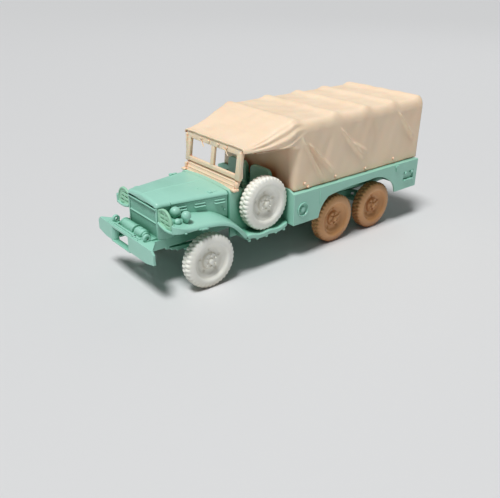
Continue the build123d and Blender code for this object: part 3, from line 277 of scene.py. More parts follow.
def softened(name, width):
    """Copy of a CAD node with its loose triangles joined and its sharp edges rounded; width in mm."""
    mesh = nodes[name].data.copy()
    mesh.name = name + "_moulded"
    join_corners(mesh, JOIN_REACH, flat=True)
    if "custom_normal" in mesh.attributes:
        mesh.attributes.remove(mesh.attributes["custom_normal"])
    shade_smooth(mesh, SHARP_ANGLE)
    mesh.materials.clear()
    piece = put_in(mesh.name, mesh, slot_of[name], nodes[name]["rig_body"], name)
    rounding = piece.modifiers.new("rounded edges", "BEVEL")
    rounding.width = width * MM
    rounding.segments = 2
    rounding.limit_method = "ANGLE"
    rounding.angle_limit = math.radians(ROUND_ANGLE)
    rounding.harden_normals = True


def smooth_step(value, low, high):
    part = np.clip((value - low) / (high - low), 0, 1)
    return part * part * (3 - 2 * part)


def steps(count):
    """Even shares from just above 0 to 1."""
    return np.linspace(0, 1, count + 1)[1:]


def slice_at(section, y, side=1):
    """Points of an (x, z) section set up at one y, on the side given by +1 or -1."""
    return np.column_stack([side * section[:, 0], np.full(len(section), y), section[:, 1]])


def grid_faces(rows, columns, close_columns=False, start=0, flip=False):
    """Quads between the points of a grid stored row by row; closed columns wrap round."""
    across = columns if close_columns else columns - 1
    row, near = np.divmod(np.arange((rows - 1) * across), across)
    right, low = (near + 1) % columns, row * columns
    quads = np.stack([low + near, low + right, low + columns + right, low + columns + near], 1)
    return (quads[:, ::-1] if flip else quads) + start


def closed_faces(rows, columns, flip=False):
    """Quads round rings of points, and fans that close the first and last ring towards the two
    points that are stored after all rings."""
    near = np.arange(columns)
    follow = (near + 1) % columns
    first, base = np.full(columns, rows * columns), (rows - 1) * columns
    fans = np.stack([first, follow, near, first + 1, base + near, base + follow], 1).reshape(-1, 3)
    fans = fans[:, ::-1] if flip else fans
    return grid_faces(rows, columns, True, flip=flip).tolist() + fans.tolist()


def sheet(grid, flip=False):
    """Vertices and faces of an open sheet from a grid of points."""
    return grid.reshape(-1, 3), grid_faces(*grid.shape[:2], flip=flip).tolist()


def join_parts(parts):
    """One vertex array and one face list from several (vertices, faces)."""
    vertices, faces, count = [], [], 0
    for points, quads in parts:
        vertices.append(points)
        faces += [[corner + count for corner in face] for face in quads]
        count += len(points)
    return np.concatenate(vertices), faces


def square_to(way):
    """Unit vector square to a way."""
    side = np.cross(way, (0, 0, 1) if abs(way[2]) < 0.9 else (1, 0, 0))
    return side / np.linalg.norm(side)


def round_about(side, other, sides):
    """Points of a unit circle in the plane of two unit vectors."""
    angle = np.linspace(0, 2 * np.pi, sides, endpoint=False)
    return np.cos(angle)[:, None] * side + np.sin(angle)[:, None] * other


def turned(profile, origin, way, sides):
    """Closed surface of revolution: profile rows of (distance along the way, radius) turned round
    the way and closed at both ends."""
    way = np.asarray(way, float) / np.linalg.norm(way)
    side = square_to(way)
    ring = round_about(side, np.cross(way, side), sides)
    profile = np.asarray(profile, float)
    points = origin + profile[:, 0, None, None] * way + profile[:, 1, None, None] * ring
    ends = origin + profile[[0, -1], 0][:, None] * way
    return np.concatenate([points.reshape(-1, 3), ends]), closed_faces(len(profile), sides)


def tube(path, radius, sides=10):
    """Round tube along a path of points, by carrying one frame from point to point."""
    path = np.asarray(path, float)
    ways = np.gradient(path, axis=0)
    ways /= np.linalg.norm(ways, axis=1)[:, None]
    side = square_to(ways[0])
    rings = []
    for point, way in zip(path, ways):
        side = side - way * side.dot(way)
        side /= np.linalg.norm(side)
        rings.append(point + radius * round_about(side, np.cross(way, side), sides))
    last = (len(path) - 1) * sides
    ends = [list(range(sides))[::-1], list(range(last, last + sides))]
    return np.concatenate(rings), grid_faces(len(path), sides, True).tolist() + ends


def ring_solid(rings):
    """Closed solid through rings of equally many points, closed by fans to the middles of its ends."""
    rings = np.asarray(rings, float)
    points = np.concatenate([rings.reshape(-1, 3), rings[[0, -1]].mean(1)])
    return points, closed_faces(*rings.shape[:2])


def round_box(x, y, z, half_x, half_y, half_z, radius):
    """Box with rounded edges: points of a sphere pushed outwards to the box's corners."""
    rows, columns = 10, 20
    low = (np.arange(rows) + 0.5) / rows * np.pi - QUARTER
    angle = (np.arange(columns) + 0.5) / columns * 2 * np.pi
    low, angle = np.meshgrid(low, angle, indexing="ij")
    ball = np.stack([np.cos(low) * np.cos(angle), np.cos(low) * np.sin(angle), np.sin(low)], 2)
    half = np.array((half_x, half_y, half_z))
    return ring_solid(np.sign(ball) * (half - radius) + ball * radius + (x, y, z))


def round_boxes(*rows):
    """Round boxes from rows of a centre, a half size and a radius."""
    return [round_box(*row) for row in rows]


def rounded_outline(low, high, radius):
    """Closed row of (a, b) points round a rectangle with rounded corners."""
    middle, reach = np.add(low, high) / 2, np.subtract(high, low) / 2 - radius
    angle = np.radians(np.linspace(0, 90, 5) + np.arange(0, 360, 90)[:, None]).ravel()
    corners = np.repeat(((1, 1), (-1, 1), (-1, -1), (1, -1)), 5, axis=0)
    return middle + corners * reach + radius * np.column_stack([np.cos(angle), np.sin(angle)])


def evenly(line, count, endpoint=True):
    """Points evenly spaced along a row of points."""
    length = np.append(0, np.cumsum(np.linalg.norm(np.diff(line, axis=0), axis=1)))
    wanted = np.linspace(0, length[-1], count, endpoint=endpoint)
    return np.stack([np.interp(wanted, length, line[:, k]) for k in range(line.shape[1])], 1)


def smooth_line(points, count):
    """Points spaced evenly along a smooth curve through the given ones (cubic between neighbours)."""
    points = np.asarray(points, float)
    padded = np.concatenate([[2 * points[0] - points[1]], points, [2 * points[-1] - points[-2]]])
    place = np.linspace(0, len(points) - 1, 40 * len(points))
    part = np.minimum(place.astype(int), len(points) - 2)
    t = (place - part)[:, None]
    a, b, c, d = [padded[part + k] for k in range(4)]
    square, cube = (2 * a - 5 * b + 4 * c - d) * t ** 2, (3 * b - a - 3 * c + d) * t ** 3
    return evenly(0.5 * (2 * b + (c - a) * t + square + cube), count)


# Wheels: x counts outwards from the inner face
WHEEL_R = 6.07
WHEEL_INNER = 10.1
AXLES = {"front": 0, "middle": 37.27, "rear": 51.71}
SPARE_PLACE = (9.6, 15.4, 15.07)
BORE_R, BORE_DEPTH = 0.85, 2.2
LUGS, LUG_DEPTH, PER_LUG = 36, 0.3, 10
# Number of discs, radius of their ring, angle of the first, full and outer radius of a disc
HAND_HOLES = (5, 2.5, 0.3, 0.1, 0.45)
HUB_STUDS = (6, 1.25, 0.5, 0.14, 0.36)


def plain(*pairs):
    """Profile rows without lugs from pairs of (x, radius)."""
    return [(x, radius, 0, 0) for x, radius in pairs]


def wheel_profile(bored):
    """Rows of (x, radius, share of the lugs' depth, stagger of the lugs in pitches)."""
    bore = plain((BORE_DEPTH, 0), (BORE_DEPTH, BORE_R), (0, BORE_R)) if bored else plain((0, 0))
    inner = plain(*[(0, r) for r in np.linspace(1, 3.2, 6)])
    inner += plain((0.1, 3.35), (0.12, 3.6), (0.03, 3.8), (0, 4.3), (0.04, 4.8))
    inner += [(0.12, 5.15, 0.1, 0), (0.22, 5.5, 0.4, 0), (0.34, 5.76, 0.8, 0)]
    inner += [(0.47, 5.94, 1, 0), (0.62, 6.04, 1, 0)]
    tread = []
    for x in np.linspace(0.82, 2.28, 11):
        middle = math.exp(-((x - 1.55) / 0.14) ** 2)
        stagger = 0.5 * float(smooth_step(x, 1.4, 1.7))
        tread.append((x, WHEEL_R - 0.1 * middle, 1 - 0.4 * middle, stagger))
    outer = [(2.48, 6.04, 1, 0.5), (2.64, 5.94, 1, 0.5), (2.78, 5.76, 0.8, 0.5)]
    outer += [(2.9, 5.5, 0.42, 0.5), (2.98, 5.15, 0.16, 0.5), (3.06, 4.85, 0.05, 0.5)]
    rim = plain((3.09, 4.6), (3.08, 4.4), (3.03, 4.22), (2.93, 4.06), (2.79, 3.93))
    rim += plain((2.63, 3.83), (2.5, 3.74), (2.42, 3.62))
    dish = plain((2.36, 3.46), (2.27, 3.3), (2.15, 3.15), (2.02, 3), (1.9, 2.86))
    dish += plain(*[(1.84 - 0.1 * math.sin((2.74 - r) * 3.2), r) for r in np.linspace(2.74, 2, 9)])
    hub = plain((1.8, 1.93), (1.9, 1.86), (2.08, 1.8), (2.24, 1.74), (2.33, 1.66))
    hub += plain(*[(2.37, r) for r in np.linspace(1.6, 0.8, 13)])
    cap = plain((2.42, 0.74), (2.6, 0.68), (2.8, 0.62), (2.93, 0.5), (3, 0.28), (3.03, 0))
    return np.array(bore + inner + tread + outer + rim + dish + hub + cap)


def discs(across, up, count, ring, start, full, end):
    """Sum of smooth discs evenly round a ring: each 1 within its full radius and 0 beyond its end."""
    total = 0
    for place in start + np.arange(count) * 2 * np.pi / count:
        gap = np.hypot(across - ring * math.cos(place), up - ring * math.sin(place))
        total = total + 1 - smooth_step(gap, full, end)
    return total


def wheel_surface(place, side, bored=True):
    """Wheel about the x axis: each profile row is turned round and cut by the notches between the
    lugs (the square of the distance from a lug's middle); smooth discs sink the hand holes and
    raise the studs. side is +1 for a dish towards +x."""
    profile = wheel_profile(bored)
    columns = LUGS * PER_LUG
    turn = np.arange(columns) / PER_LUG
    x, radius, depth, stagger = [profile[:, k, None] for k in range(4)]
    off = np.mod(turn + stagger + 0.5, 1) - 0.5
    reach = radius - LUG_DEPTH * depth * np.abs(2 * off) ** 2
    angle = turn / LUGS * 2 * np.pi - QUARTER
    across, up = reach * np.cos(angle), reach * np.sin(angle)
    in_dish = (x > 1.5) * (radius < 3.2) * (radius > 1.95)
    on_hub = (x > 2.2) * (radius < 1.75) * (radius > 0.75)
    x = x - 0.22 * in_dish * discs(across, up, *HAND_HOLES)
    x = x + 0.42 * on_hub * discs(across, up, *HUB_STUDS)
    points = np.stack([side * x, across, up], 2)
    ends = points[[0, -1], 0] * (1, 0, 0)
    points = np.concatenate([points[1:-1].reshape(-1, 3), ends])
    return points + place, closed_faces(len(profile) - 2, columns, side > 0)


for axle, y in AXLES.items():
    for side, label in SIDES:
        wheel = "wheel_%s_%s" % (axle, label)
        surface = wheel_surface((side * WHEEL_INNER, y, WHEEL_R), side)
        add_piece(wheel + "_tyre", *surface, slot_of[wheel], wheel, wheel)
surface = wheel_surface(SPARE_PLACE, 1, bored=False)
add_piece("spare_tyre", *surface, slot_of["spare_wheel"], "truck", "spare_wheel")


# Canvas cover, from the front edge of its canopy to its rear; each table gives y and what is there
CANOPY_Y, CURTAIN_Y, REAR_Y = 10, 22.42, 66.86
BOWS = np.array((23.2, 35.4, 46, 55.8, 66))
HEM = 16.45
JOIN_Z = 27  # height where the sides meet the roof
CANVAS = 0.32  # its thickness
ROOF_LINE = ((10, 11.2, 13.5, 16, 18.8, 20.8, 22.3), (27.98, 28.05, 28.65, 29.5, 30.85, 31.55, 31.8))
ROOF_LOW = ((10, 16, 22.3), (27, 26.75, JOIN_Z))
HALF_WIDTH = ((10, 13.5, 17, 20.5, 22.4, 24), (10.95, 11.6, 12.35, 13.15, 13.5, 13.66))
# How far in from the side the roof begins to curve down
SHOULDER_IN = ((10, 12, 17, 21, 24.5, 30, 66.9), (0.8, 1.3, 2.2, 2.8, 2.8, 2.4, 2.4))
FOLDS = (
    # y and z of the top, y and z of the foot, height, half width
    (24.6, 28.4, 25.3, 26, 0.24, 0.4), (25.2, 27.2, 31.8, 17.5, 0.75, 0.34),
    (26.8, 26.6, 35, 18.8, 0.68, 0.36), (36.8, 28.4, 45, 20.6, 0.68, 0.42),
    (41.4, 24.6, 46.4, 21.4, 0.36, 0.4), (57.6, 29.1, 64.2, 22.4, 0.68, 0.4),
    (48.4, 28.6, 52.4, 19.2, -0.1, 1), (33.6, 27.4, 31.4, 21, -0.12, 1),
)


def fold_relief(y, z):
    """Sum of ridges along lines on the side: each falls off with the distance across its line."""
    relief = np.zeros_like(y)
    for top_y, top_z, foot_y, foot_z, height, width in FOLDS:
        line = np.array((foot_y - top_y, foot_z - top_z))
        length = np.hypot(*line)
        along = ((y - top_y) * line[0] + (z - top_z) * line[1]) / length ** 2
        apart = np.abs((y - top_y) * line[1] - (z - top_z) * line[0]) / length
        fade = smooth_step(along, -0.08, 0.12) * (1 - smooth_step(along, 0.75, 1.15))
        relief += height * fade * np.exp(-(apart / (width * (0.6 + 0.9 * np.clip(along, 0, 1)))) ** 2)
    return relief


def drape(y, z):
    """How far the side stands in from its widest: hollow between bows, wavy, raised along its folds."""
    bay = np.sin(np.pi * (np.interp(y, BOWS, np.arange(5)) % 1)) ** 2
    height = np.clip((z - HEM) / (29.3 - HEM), 0, 1)
    hollow = 0.22 * bay * np.sin(np.pi * height) ** 0.8
    waves = 0.035 * np.sin(y * 0.8 + 0.5 * z) + 0.02 * np.sin(1.7 * y - 0.7 * z + 1)
    return np.clip(0.55 + hollow + waves - fold_relief(y, z), 0, 1.3)


def corner_in(y, z):
    """Rounding of the front corner in plan, wider towards the top, that ends where the canopy joins."""
    radius = np.interp(z, (16.4, 20, 24, 26.6), (1, 1.5, 2.3, 2.9))
    gap = np.clip(1 - (y - CURTAIN_Y) / radius, 0, 1)
    return radius * (1 - np.sqrt(1 - gap ** 2)) * (1 - smooth_step(z, 25.8, JOIN_Z))


def side_x(y, z):
    """Half width at y less the drape, which begins behind the cab, and the rounded front corner."""
    return np.interp(y, *HALF_WIDTH) - drape(y, z) * smooth_step(y, 20, 24) - corner_in(y, z)


def roof_section(y, count):
    """Half section at each y: up the side, round the shoulder as a quarter of an oval, then level to
    the middle. Over the cab the oval goes down almost to the hem, behind it only a short way. Each bow
    lifts the sheet by a bell around its y; the canopy has long pleats beside its hem."""
    low, top, half = [np.interp(y, *line)[:, None] for line in (ROOF_LOW, ROOF_LINE, HALF_WIDTH)]
    inward, tall = np.interp(y, *SHOULDER_IN)[:, None], 0.95 * (top - low)
    down = tall + (2.6 - tall) * smooth_step(y, 19, 27)[:, None]
    share = np.linspace(0, 1, count)
    straight, bend = 0.14, 0.56
    rise = low + (top - down - low) * np.clip(share / straight, 0, 1)
    angle = np.clip((share - straight) / (bend - straight), 0, 1) * QUARTER
    x = (half - inward * (1 - np.cos(angle))) * np.clip((1 - share) / (1 - bend), 0, 1)
    bows = 0.62 * np.exp(-((y[:, None] - BOWS) / 1.5) ** 2).sum(1)[:, None]
    z = rise + down * np.sin(angle) + bows * smooth_step(share, 0.08, 0.5)
    z = z + 0.05 * np.clip((share - bend) / (1 - bend), 0, 1)
    edge = side_x(np.repeat(y[:, None], count, 1), z) - half
    x = x + edge * (1 - smooth_step(share, straight * 0.9, bend))
    over_cab = (smooth_step(y, 11, 15) * (1 - smooth_step(y, 22, 26)))[:, None]
    fade = smooth_step(share, 0.06, 0.16) * (1 - smooth_step(share, 0.3, 0.5))
    pleat = np.sin(2 * np.pi * (share / 0.13 - 0.05 * (y[:, None] - CANOPY_Y))) * over_cab * fade
    return x + 0.14 * pleat, z + 0.08 * pleat


def canvas_surface():
    """Roof with its low ripples, both sides, and the curtain behind the cab, which hangs in waves."""
    y = np.append(np.linspace(CANOPY_Y, CURTAIN_Y, 44), np.linspace(CURTAIN_Y, REAR_Y, 176)[1:])
    count = 60
    x, z = roof_section(y, count)
    ripple = 0.05 * np.sin(y[:, None] * 0.9 + x * 0.7) + 0.04 * np.sin(y[:, None] * 0.5 - x * 1.3)
    z = z + ripple * smooth_step(np.linspace(0, 1, count), 0.5, 0.75)
    x, z = np.concatenate([x, -x[:, -2::-1]], 1), np.concatenate([z, z[:, -2::-1]], 1)
    parts = [sheet(np.stack([x, np.repeat(y[:, None], x.shape[1], 1), z], 2), flip=True)]
    z = np.linspace(HEM, JOIN_Z, 44)
    side_y, side_z = np.meshgrid(y[y >= CURTAIN_Y - 1e-9], z, indexing="ij")
    for sign, _ in SIDES:
        side = np.stack([sign * side_x(side_y, side_z), side_y, side_z], 2)
        parts.append(sheet(side, flip=sign > 0))
    share = np.linspace(-1, 1, 61)
    loose = 1 - share ** 8
    x = share * side_x(np.full_like(z, CURTAIN_Y), z)[:, None]
    hang = 0.06 * np.sin(x * 1.4) * loose + 0.05 * np.sin(x * 0.6 + 1)
    parts.append(sheet(np.stack([x, CURTAIN_Y + hang * loose, np.repeat(z[:, None], 61, 1)], 2)))
    return join_parts(parts)


cover = add_sheet("canvas_cover", canvas_surface(), "cover", CANVAS, "canvas_cream")
join_corners(cover.data, 2 * JOIN_REACH)


# Nose and hood, from the nose's front over the seam between them to the cab
NOSE_Y, SEAM_Y, HOOD_REAR = -8.45, -5.4, 7.5
BEAD_Z = 17.76
LIP_Z = 18.06  # where side and top meet
SHOULDER = 0.34  # share of a row that goes round the shoulder
SHOULDER_WIDE, SHOULDER_HIGH = 1.15, 0.82
HOOD_HEM = ((-5.4, -0.8, 3, 4.6, 7.1, 7.6), (15.5, 15.1, 14.7, 14.1, 12.95, 12.83))
SLAT_SECTION = np.column_stack([(0, 0.35, 0.8, 1, 1, 0.85, 0), (0, -0.2, -0.5, -0.72, -0.85, -1, -1)])
GRILLE_HALF, GRILLE_BARS = 5.28, 24


def hood_half(y):
    return np.interp(y, (NOSE_Y, 7.6), (5.75, 8.6))


def half_row(y, count):
    """Left half of the top of nose and hood at one y, from the lip to the middle: the shoulder is a
    quarter of an oval, the rest a shallow arch with a thin ridge line."""
    bend, flat = np.linspace(0, SHOULDER, count // 3), np.linspace(SHOULDER, 1, count - count // 3 + 1)
    share = np.append(bend, flat[1:])
    half, crown = hood_half(y) + 0.2, np.interp(y, (NOSE_Y, -4, 7.6), (19.36, 19.46, 19.22))
    angle = np.clip(share / SHOULDER, 0, 1) * QUARTER
    flat = np.clip((share - SHOULDER) / (1 - SHOULDER), 0, 1)
    x = (half - SHOULDER_WIDE + SHOULDER_WIDE * np.cos(angle)) * (1 - flat)
    arch = (crown - LIP_Z - SHOULDER_HIGH) * (1 - (1 - flat) ** 2) * (share > SHOULDER)
    return x, LIP_Z + SHOULDER_HIGH * np.sin(angle) + arch + 0.12 * np.exp(-(x / 0.2) ** 2)


def nose_cap():
    """Closed cushion from under the hood to the front edge, which rolls over a quarter circle."""
    turn = np.linspace(0, QUARTER, 9)
    stations = [(SEAM_Y + 0.6, 0.14), (SEAM_Y + 0.03, 0.14)]
    stations += [(SEAM_Y, 0), (-5.9, 0), (-6.6, 0), (-7.3, 0)]
    stations += zip(-7.85 - 0.72 * np.sin(turn), 0.6 * (1 - np.cos(turn)))
    rings = []
    for y, pull in stations:
        x, z = half_row(y, 40)
        x = x * (1 - pull / hood_half(y))
        boss = 0.14 * np.exp(-((x / 0.62) ** 2 + ((y + 6.75) / 0.4) ** 2) ** 2)
        top = np.column_stack([x, z - pull * (0.35 + 0.65 * smooth_step(z, 18, 18.7)) + boss])
        low = np.column_stack([x, np.full_like(x, 17.92 + 0.25 * pull)])
        left = slice_at(np.concatenate([low[::-1], top]), y)
        rings.append(np.concatenate([left, (left * MIRROR)[::-1][1:-1]]))
    return ring_solid(rings)


def hood_sheet():
    """Sides with bead, shoulder and top as rows from hem to hem, laid out along y. The seam's edge
    is straight over the top and steps back a little below it."""
    rows = []
    for y in np.append(SEAM_Y + 0.001, np.linspace(SEAM_Y + 0.12, HOOD_REAR, 60)):
        wall_z = np.linspace(float(np.interp(y, *HOOD_HEM)), 17.5, 12)
        wall_z = np.append(wall_z, [17.6, 17.68, BEAD_Z, 17.84, 17.9, 17.95, 18, 18.04])
        bead = 0.16 * np.exp(-((wall_z - BEAD_Z) / 0.09) ** 2)
        wall = np.column_stack([hood_half(y) + bead, wall_z])
        x, z = np.concatenate([wall, np.column_stack(half_row(y, 60))[1:]]).T
        step = 0.1 * (1 - smooth_step(z, 18.3, 18.85)) * (1 - smooth_step(y, SEAM_Y, -4.9))
        row = np.column_stack([x, y + step, z])
        rows.append(np.concatenate([row, (row * MIRROR)[::-1][1:]]))
    return sheet(np.array(rows), flip=True)


def slat(front, rear, top, height, side, proud):
    """Louvre slat: a wedge on the slanting side that slopes outward and down like an awning."""
    ends = ((0, 0.3), (0.15, 0.85), (0.35, 1))
    stations = [(front + step, shrink) for step, shrink in ends]
    stations += [(rear - step, shrink) for step, shrink in ends[::-1]]
    rings = []
    for y, shrink in stations:
        size = (0.1 + proud * shrink, height * (0.4 + 0.6 * shrink))
        rings.append(slice_at((hood_half(y) - 0.1, top) + SLAT_SECTION * size, y, side))
    return ring_solid(rings)


def nose_wall(side):
    """Side wall of the nose, rounded at its front end, that goes on under the hood behind the seam."""
    rings = []
    front = [NOSE_Y + step for step in (0, 0.04, 0.12, 0.25)]
    for y in front + [-6.5, SEAM_Y, SEAM_Y + 0.02, SEAM_Y + 0.5]:
        half = float(hood_half(y)) - 0.12 * (y > SEAM_Y)
        shrink = 0.12 * (1 - math.sqrt(max(0, 1 - max(0, 1 - (y - NOSE_Y) / 0.12) ** 2)))
        low, high = (half - 0.48 + shrink, 10.8 + shrink), (half - shrink, 17.9 - shrink)
        rings.append(slice_at(rounded_outline(low, high, 0.14 - shrink * 0.6), y, side))
    return ring_solid(rings)


def grille_front():
    """Field of heights: upright half-round bars, with one level bar across at half height."""
    across = np.linspace(-GRILLE_HALF, GRILLE_HALF, GRILLE_BARS * 12 + 1)
    x, z = np.meshgrid(across, np.linspace(10.85, 17.3, 70), indexing="ij")
    phase = (x + GRILLE_HALF) / (2 * GRILLE_HALF) * GRILLE_BARS
    bars = 0.32 * np.clip(1 - (2 * np.abs(np.mod(phase, 1) - 0.5) / 0.76) ** 2, 0, 1) ** 0.4
    level = 0.46 * np.clip(1 - ((z - 14.4) / 0.17) ** 2, 0, 1) ** 0.3
    front = np.stack([x, -8 - np.maximum(bars, level), z], 2)
    points = np.concatenate([front.reshape(-1, 3), (front * (1, 0, 1) + (0, -7.8, 0)).reshape(-1, 3)])
    behind = x.size
    number = np.arange(behind).reshape(x.shape)
    rim = np.concatenate([number[:, 0], number[-1, 1:], number[-2::-1, -1], number[0, -2:0:-1]])
    follow = np.roll(rim, -1)
    wall = np.stack([rim, follow, follow + behind, rim + behind], 1)
    rear_faces = grid_faces(*x.shape, start=behind, flip=True)
    return points, np.concatenate([grid_faces(*x.shape), rear_faces, wall]).tolist()


moulded("nose_cap", [nose_cap()], "nose", 60)
add_sheet("hood_top", hood_sheet(), "hood", SHEET)
# Louvres: ends of each pair, then top, height and reach of its slats
parts = []
for front, rear in ((-4.35, -1.85), (-0.25, 2.35), (4.25, 6.85)):
    for top, height, proud in ((17.45, 0.34, 0.26), (16.86, 0.36, 0.44)):
        parts += [slat(front, rear, top, height, side, proud) for side, _ in SIDES]
# Nubs and catches along the hood's edges
parts += round_boxes(
    (8.55, 6.65, 14.85, 0.22, 0.24, 0.2, 0.17), (8.52, 6.2, 15.5, 0.13, 0.14, 0.14, 0.12),
    (4.1, 2.9, 19.1, 0.34, 0.16, 0.14, 0.12), (4.75, 3.05, 19, 0.16, 0.22, 0.16, 0.12),
    (6.85, 4.1, 18.9, 0.6, 0.5, 0.2, 0.18), (6.85, 4.1, 19, 0.28, 0.24, 0.26, 0.22),
    (7, 5.3, 18.82, 0.34, 0.34, 0.2, 0.16), (-7.75, 3.7, 18.85, 0.4, 0.42, 0.3, 0.25),
    (-7.85, 4.8, 18.8, 0.3, 0.6, 0.22, 0.18),
)
moulded("hood_details", parts)
# Nose shell: side walls, three rails over the grille and one under it
parts = [nose_wall(1), nose_wall(-1)] + round_boxes(
    (0, -8.2, 17.42, 5.3, 0.25, 0.2, 0.1), (0, -8.42, 17.5, 5.72, 0.24, 0.13, 0.1),
    (0, -7.95, 17.7, 5.2, 0.3, 0.25, 0.08), (0, -8.1, 10.98, 5.3, 0.3, 0.18, 0.1),
)
moulded("nose_shell", parts)
moulded("grille_bars", [grille_front()], "grille", 60)


# Fenders: y and z of three lines from the front edge to the foot
INNER_LINE = (
    (-7.7, -5.2, -0.8, 2.4, 4.4, 7.1, 10, 11.5),
    (16.3, 16, 15.62, 15.28, 14.72, 13.05, 10.6, 9.25),
)
RIDGE_LINE = (
    (-8, -5.2, -1.4, 1.3, 3.9, 6, 8.1, 9.75),
    (15.72, 15.3, 14.96, 14.74, 14.15, 13.12, 11.4, 9.4),
)
HEM_LINE = (
    (-8.4, -5.3, -2.7, 0, 2.4, 4.4, 6, 7.5, 9.35),
    (14.5, 14.42, 14.36, 14.1, 13.75, 13.2, 12.35, 10.95, 8.75),
)
FENDER_INNER, RIDGE_X, FENDER_HALF = 5.3, 12.2, 13.05
CORNER = 2.3  # radius of the outer front corner in plan
FRONT_LIP = 0.3  # how far the front edge rolls down
FRONT_HEM = ((5.3, 6.4, 8.1, 9.6, 11.2, 12.4, 13.05), (14.6, 14.2, 13.8, 13.74, 13.95, 14.35, 14.5))
# x, y and z of the rolled edge
ROLL_LINE = (
    (5.95, 7, 8.6, 10.4, 11.7, 12.4, 12.6, 12.62, 12.62, 12.62, 12.62, 12.62, 12.62, 12.62),
    (-8.12, -8.2, -8.24, -8.2, -7.85, -7, -5.3, -2.7, 0, 2.4, 4.4, 6, 7.4, 9.2),
    (14.78, 14.42, 14.16, 14.2, 14.4, 14.52, 14.5, 14.44, 14.18, 13.82, 13.26, 12.4, 11.1, 9.05),
)
RAIL_GAP = 5.88  # x of the plate inside the wheel's opening
BOARD_END, BOARD_ROUND = 20.6, 0.85


def fender_rows():
    """Rows of points on the left side. Each runs from the inner line to the ridge line, then turns
    down over a quarter of an oval to the hem line."""
    count = 90
    lines = (INNER_LINE, RIDGE_LINE, HEM_LINE)
    inner, ridge, hem = [smooth_line(np.transpose(line), count) for line in lines]
    across, drop = np.linspace(0, 1, 34), steps(5)
    turn = QUARTER * steps(6)
    x = FENDER_INNER + (RIDGE_X - FENDER_INNER) * across
    x = np.concatenate([x, RIDGE_X + 0.85 * np.sin(turn), np.full(len(drop), FENDER_HALF)])
    rows = []
    for k in range(count):
        (y0, z0), (y1, z1), (y2, z2) = inner[k], ridge[k], hem[k]
        y = np.concatenate([y0 + (y1 - y0) * across, np.full(len(turn), y1), y1 + (y2 - y1) * drop])
        swell = 0.22 * np.sin(np.pi * across) * smooth_step(k, 0, 20)
        bend = z1 - 0.72 * (1 - np.cos(turn))
        z = np.concatenate([z0 + (z1 - z0) * across + swell, bend, bend[-1] + (z2 - bend[-1]) * drop])
        rows.append(np.column_stack([x, y, z]))
    return np.array(rows)


def fender_sheet(side):
    """Top sheet whose front is drawn to a straight edge with a round outer corner in plan, and there
    rolls down to a front hem."""
    rows = fender_rows()
    into_corner = np.clip(rows[..., 0] - FENDER_HALF + CORNER, 0, CORNER)
    arc = NOSE_Y + CORNER - np.sqrt(np.clip(CORNER ** 2 - into_corner ** 2, 0, None))
    start = np.maximum(-7.75 - 0.7 * smooth_step(rows[..., 0], 10.7, 11.3), arc)
    early = 1 - smooth_step(rows[..., 1], -8.4, -3)
    rows[..., 1] += (start[0] - rows[0, :, 1]) * early
    x, y, z = rows[0].T
    turns = QUARTER * steps(5)
    roll = [np.column_stack([x, y, z - FRONT_LIP * (1 - math.cos(turn))]) for turn in turns]
    edge, low = z - FRONT_LIP, np.interp(x, *FRONT_HEM)
    for share in steps(8):
        roll.append(np.column_stack([x, y, np.minimum(edge + (low - edge) * share, z)]))
    return sheet(np.concatenate([np.array(roll)[::-1], rows]) * (side, 1, 1), flip=side < 0)


def fender_roll(side):
    """Rolled edge along the fender's hem, from the nose round the corner to the foot."""
    return tube(smooth_line(np.transpose(ROLL_LINE), 110) * (side, 1, 1), 0.33, 12)


def inner_panel(side):
    """Upright plate between the frame's rail and the fender's inner line."""
    y = np.linspace(-7.6, HOOD_REAR, 40)
    x = np.full(40, RAIL_GAP * side)
    top = np.column_stack([x, y, np.interp(y, *INNER_LINE) - 0.15])
    low = np.column_stack([x, y, np.full(40, 10.8)])
    shift = (-0.42 * side, 0, 0)
    return ring_solid(np.stack([low, top, top + shift, low + shift], 1))


def running_board(side):
    """Step between fender and bed: a rounded section that dips and waves, narrowed round at its end."""
    round_end = 21.45 - BOARD_ROUND * (1 - np.sin(QUARTER * steps(7)))
    rings = []
    for y in np.append(np.linspace(9.3, BOARD_END, 40), round_end):
        top = min(8.95 + 0.55 * ((y - 15.5) / 6) ** 2 + 0.16 * math.sin((y - 9.6) * 1.25), 9.55)
        end = BOARD_ROUND * (1 - math.sqrt(max(0.02, 1 - max(0, (y - BOARD_END) / 0.86) ** 2)))
        low, high = (9.2, top - 1.1 + end * 0.2), (FENDER_HALF - end, top)
        rings.append(slice_at(rounded_outline(low, high, 0.3 - 0.1 * (end > 0.4)), y, side))
    return ring_solid(rings)


for side, label in SIDES:
    add_sheet("fender_%s_sheet" % label, fender_sheet(side), "fender_" + label, SHEET)
    parts = [fender_roll(side), inner_panel(side), running_board(side)]
    for y in (10.3, 12.6, 15.2, 18, 20.4):
        z = 7.75 + 0.03 * abs(y - 15.5) ** 1.2
        parts.append(round_box(side * 12.55, y, z, 0.28, 0.34, 0.34, 0.2))
    moulded("running_board_" + label, parts)


# Lamp guards
GUARD_MIDDLE = np.array((8.3, 16))
GUARD_RIM = 0.2  # half width and height of the raised rim
SLOT_DEPTH = 0.26


def guard_edge():
    """Evenly spaced (x, z) points along the guard's straight edges and two arcs."""
    outline = [(5.95, 14.75), (5.95, 17.65), (7.4, 18.28)]
    for x, z, radius, angles in (
        (8.05, 15.56, 2.85, np.linspace(82, 0, 14)), (9.5, 15.35, 1.4, np.linspace(0, -90, 8)),
    ):
        outline += [(x + radius * math.cos(a), z + radius * math.sin(a)) for a in np.radians(angles)]
    return evenly(np.array(outline + outline[:1]), 150, endpoint=False)


